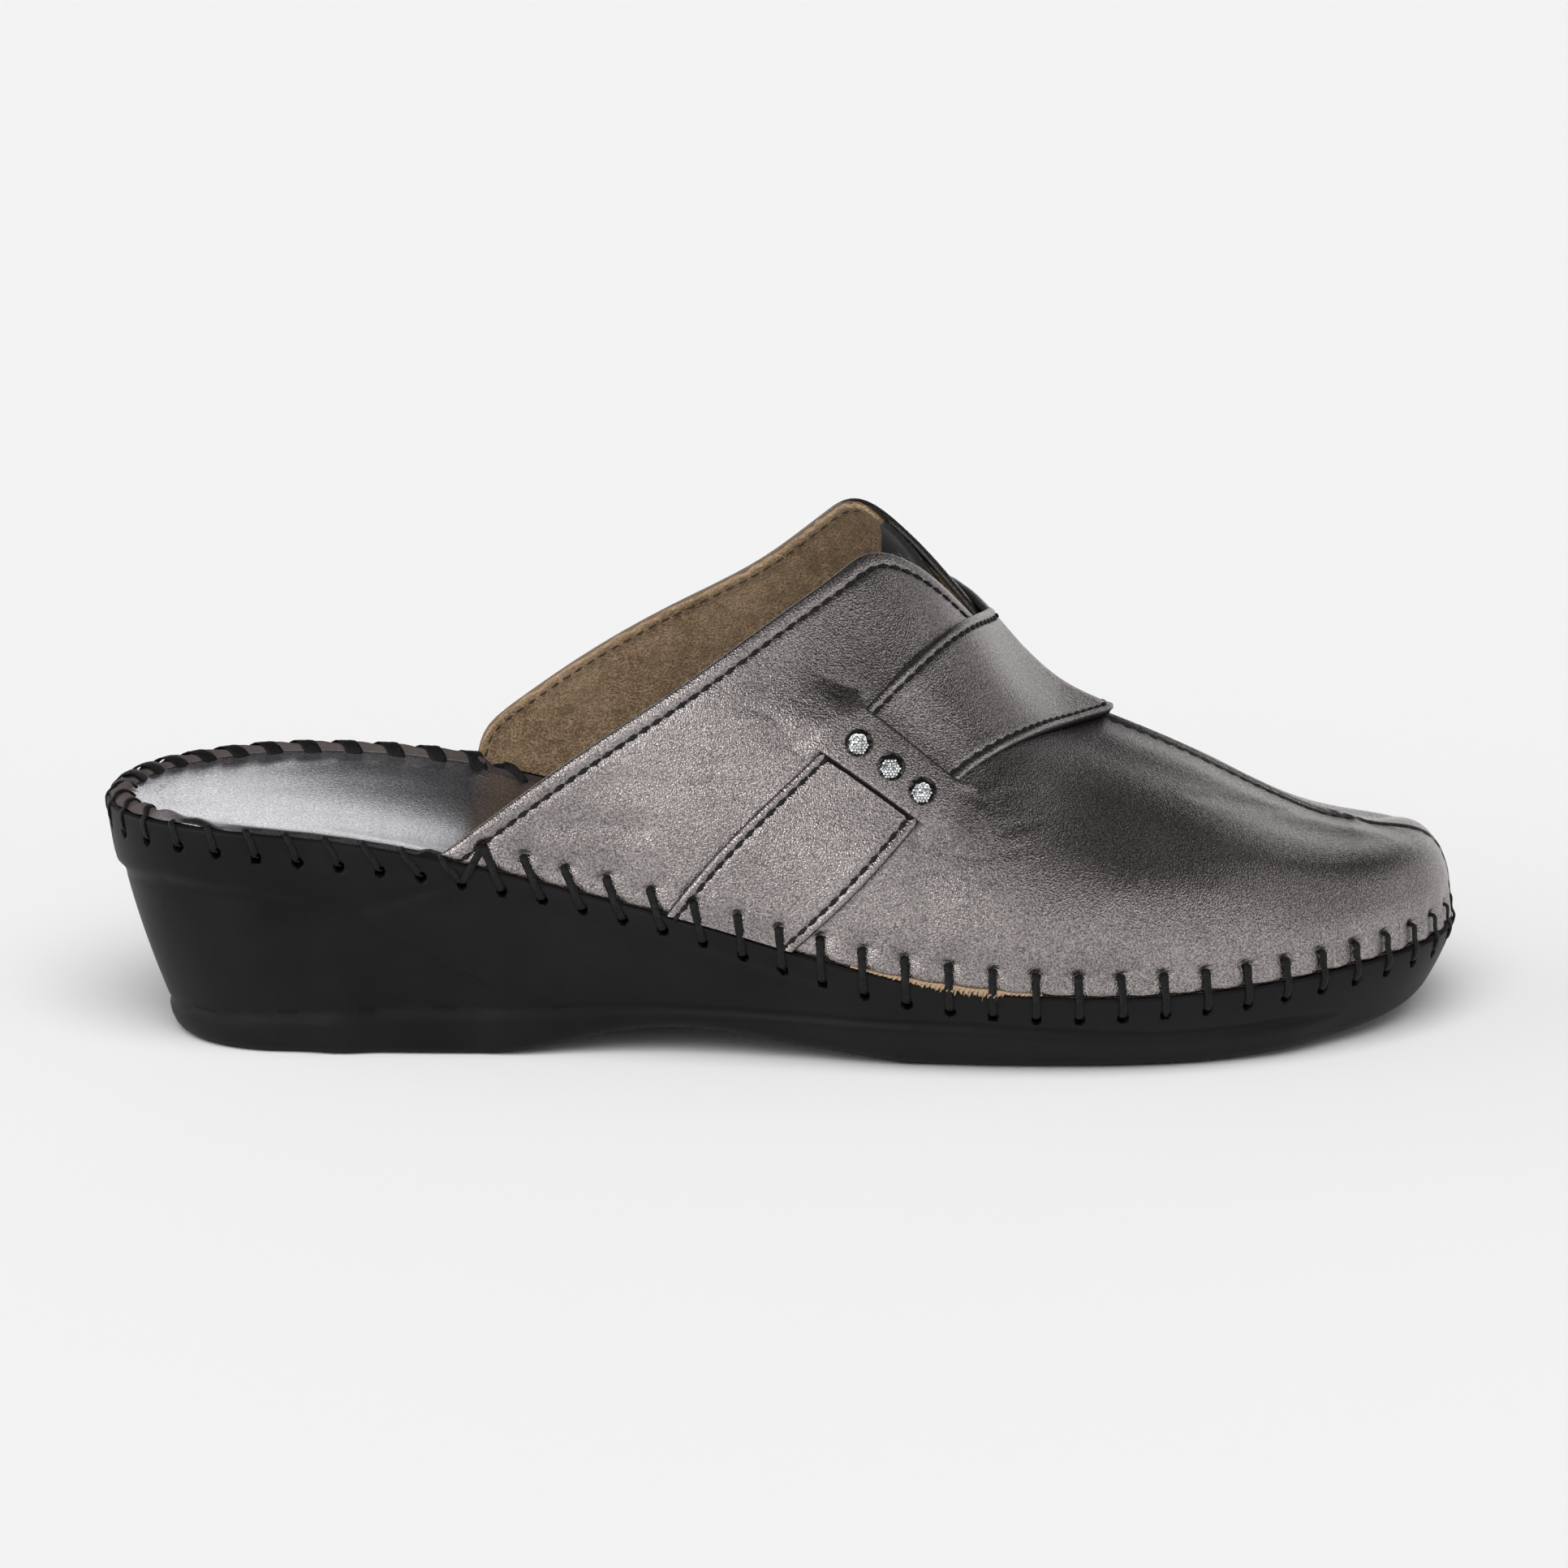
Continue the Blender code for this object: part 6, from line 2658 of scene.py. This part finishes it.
@dataclass
class Studio:
    """Floor, soft light and the camera at the photograph's angle."""

    elevation: float = 14.5
    distance: float = 1.4
    target: Triple = (0.0, -0.0015, 0.0441)
    focal_share: float = 9240 / 1932
    sensor: float = 36.0
    floor_size: float = 12.0
    bright: Pair = (1.12, 1.25)
    dark: float = 0.035
    edges: Triple = (0.42, 0.65, 0.34)
    quarter_edge: float = 0.12
    softness: Pair = (0.045, 0.10)
    toe_softness: float = 0.14
    sides: Pair = (1.8, 0.57)
    rising: tuple[float, float, float, float] = (0.08, 0.30, -0.18, 0.10)
    overhead: float = 3.09
    overhead_deg: float = 60.0
    overhead_tilt: float = 32.0
    panel_place: Triple = (-0.9, -1.1, 0.42)
    panel_size: Pair = (0.7, 0.5)
    panel_power: float = 5.0
    panel_colour: Colour = (1.0, 0.985, 0.97)

    def build(self) -> None:
        """Builds everything around the slipper."""
        self.add_floor()
        self.add_world()
        self.add_overhead()
        self.add_panel()
        self.add_camera()
        bpy.context.scene.view_settings.view_transform = "Standard"

    def add_floor(self) -> None:
        """Adds the floor at the sole's foot."""
        half = self.floor_size / 2
        corners = [(-half, -half, 0), (half, -half, 0), (half, half, 0), (-half, half, 0)]
        mesh = bpy.data.meshes.new("floor")
        mesh.from_pydata(corners, [], [(0, 1, 2, 3)])
        mesh.materials.append(FloorFinish().material())
        make_object("floor", mesh)

    def add_world(self) -> None:
        """Adds a surround that is bright low down and behind, and dark above the camera."""
        world = bpy.data.worlds.new("studio_surround")
        world.use_nodes = True
        bpy.context.scene.world = world
        graph = Graph(world.node_tree)
        direction = graph.add("ShaderNodeTexCoord").outputs["Generated"]
        parts = graph.add("ShaderNodeSeparateXYZ", {0: direction}).outputs
        toe_side, away, up = parts["X"], parts["Y"], parts["Z"]
        right = graph.math("MULTIPLY", graph.remap(toe_side, 0.3, 0.65), graph.remap(away, -0.6, 0.0))
        back = graph.remap(away, 0.40, 0.55)
        edge = graph.remap(right, 0.0, 1.0, *self.edges[:2])
        edge = graph.math("ADD", edge, graph.remap(toe_side, -0.08, 0.12, self.quarter_edge, 0.0))
        above = graph.math("SUBTRACT", up, graph.mix(back, edge, self.edges[2]))
        soft = graph.remap(back, 0.0, 1.0, *self.softness)
        soft = graph.math("MULTIPLY_ADD", right, self.toe_softness, soft)
        shade = graph.math("MULTIPLY_ADD", graph.math("DIVIDE", above, soft), 0.5, 0.5)
        bright = graph.remap(back, 0.0, 1.0, *self.bright)
        quarter = graph.remap(toe_side, 0.08, 0.28, 1.0, 0.0)
        for factor in (
            graph.remap(toe_side, -0.95, -0.5, self.sides[0], 1.0),
            graph.remap(right, 0.3, 1.0, 1.0, self.sides[1]),
            graph.math("MULTIPLY_ADD", quarter, graph.remap(up, *self.rising), 1.0),
        ):
            bright = graph.math("MULTIPLY", bright, factor)
        strength = graph.mix(graph.remap(shade, 0.0, 1.0), bright, self.dark)
        light = {"Color": solid((1.0, 1.0, 1.0)), "Strength": strength}
        graph.feed(world.node_tree.nodes["Background"], light)

    def add_overhead(self) -> None:
        """Adds the wide soft light from above that gives the shadow on the floor and leaves no highlight."""
        light = bpy.data.lights.new("overhead", "SUN")
        light.energy = self.overhead
        light.angle = math.radians(self.overhead_deg)
        lamp = make_object("overhead", light)
        lamp.rotation_euler = (math.radians(self.overhead_tilt), 0.0, 0.0)
        lamp.visible_glossy = False

    def add_panel(self) -> None:
        """Adds a soft panel light that faces the slipper and shows only in its reflections."""
        light = bpy.data.lights.new("key_panel", "AREA")
        light.shape = "RECTANGLE"
        light.size, light.size_y = self.panel_size
        light.energy = self.panel_power
        light.color = self.panel_colour
        panel = make_object("key_panel", light)
        panel.location = self.panel_place
        way = Vector(self.target) - Vector(self.panel_place)
        panel.rotation_euler = way.to_track_quat("-Z", "Y").to_euler()
        panel.visible_diffuse = False

    def add_camera(self) -> None:
        """Adds the camera and makes it the scene's own."""
        tilt = math.radians(self.elevation)
        back = Vector((0.0, -math.cos(tilt), math.sin(tilt)))
        data = bpy.data.cameras.new("camera")
        data.sensor_width = self.sensor
        data.lens = self.focal_share * self.sensor
        camera = make_object("camera", data)
        camera.location = Vector(self.target) + back * self.distance
        camera.rotation_euler = (-back).to_track_quat("-Z", "Y").to_euler()
        bpy.context.scene.camera = camera


def main() -> None:
    """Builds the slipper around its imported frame, piece by piece."""
    logging.basicConfig(level=logging.INFO, format="%(name)s %(message)s")
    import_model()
    last = Last()
    sewing = Sewing(last)
    pewter = LeatherFinish("pewter_leather", (0.115, 0.103, 0.101), (0.42, 0.385, 0.378))
    lilac = LeatherFinish(
        "pewter_footbed_leather",
        (0.40, 0.39, 0.418),
        (0.91, 0.895, 0.94),
        grain=2200.0,
        grain_depth=0.00003,
        raw=(0.062, 0.049, 0.046),
    )
    pewter_leather, suede = pewter.material(), SuedeFinish().material()
    waxed = FibreFinish("waxed_thread", lit=(0.011, 0.011, 0.012), roughness=0.55, specular=0.15)
    sewing_thread = FibreFinish("sewing_thread").material()
    elastic = FibreFinish(
        "black_elastic",
        (0.005, 0.005, 0.005),
        (0.011, 0.011, 0.012),
        roughness=0.85,
        specular=0.5,
        sheen=0.15,
        scale=1500.0,
        detail=2.0,
        tangle=0.6,
        relief=0.0002,
    )

    sole = Sole(last, sewing)
    sole.build(MouldedFinish().material())
    footbed = Footbed(last, sewing, sole)
    footbed.build(lilac.material())
    strap = Strap(last, sewing)
    keeper = Keeper(last, strap)
    upper_rows = Upper(last, sewing, strap, keeper).build(pewter_leather, suede)
    strap_piece, strap_rows = strap.build(pewter_leather)
    keeper.build(pewter_leather)
    # Painted shade on the strap's face inside the holes, around the stones.
    keeper.darken_holes(strap_piece.data, -keeper.hole_radius)
    Crystals(keeper).build(CrystalFinish().material())
    Gore(last).build(elastic.material())
    RawEdge(last).build(suede)
    WhipSeam(last, sewing, sole, footbed, strap).build(waxed.material())
    stitching = TopStitching()
    stitching.build("upper_stitching", upper_rows["collar"], sewing_thread)
    stitching.build("strap_stitching", strap_rows, sewing_thread)
    fine = TopStitching(length=1.9, width=0.4, height=0.4, hole=0.45)
    fine.build("vamp_stitching", upper_rows["vamp"], sewing_thread)
    brown = FibreFinish("lining_thread", (0.03, 0.02, 0.012), (0.08, 0.054, 0.034))
    fine.build("lining_stitching", upper_rows["lining"], brown.material())
    Studio().build()


if __name__ == "__main__":
    main()
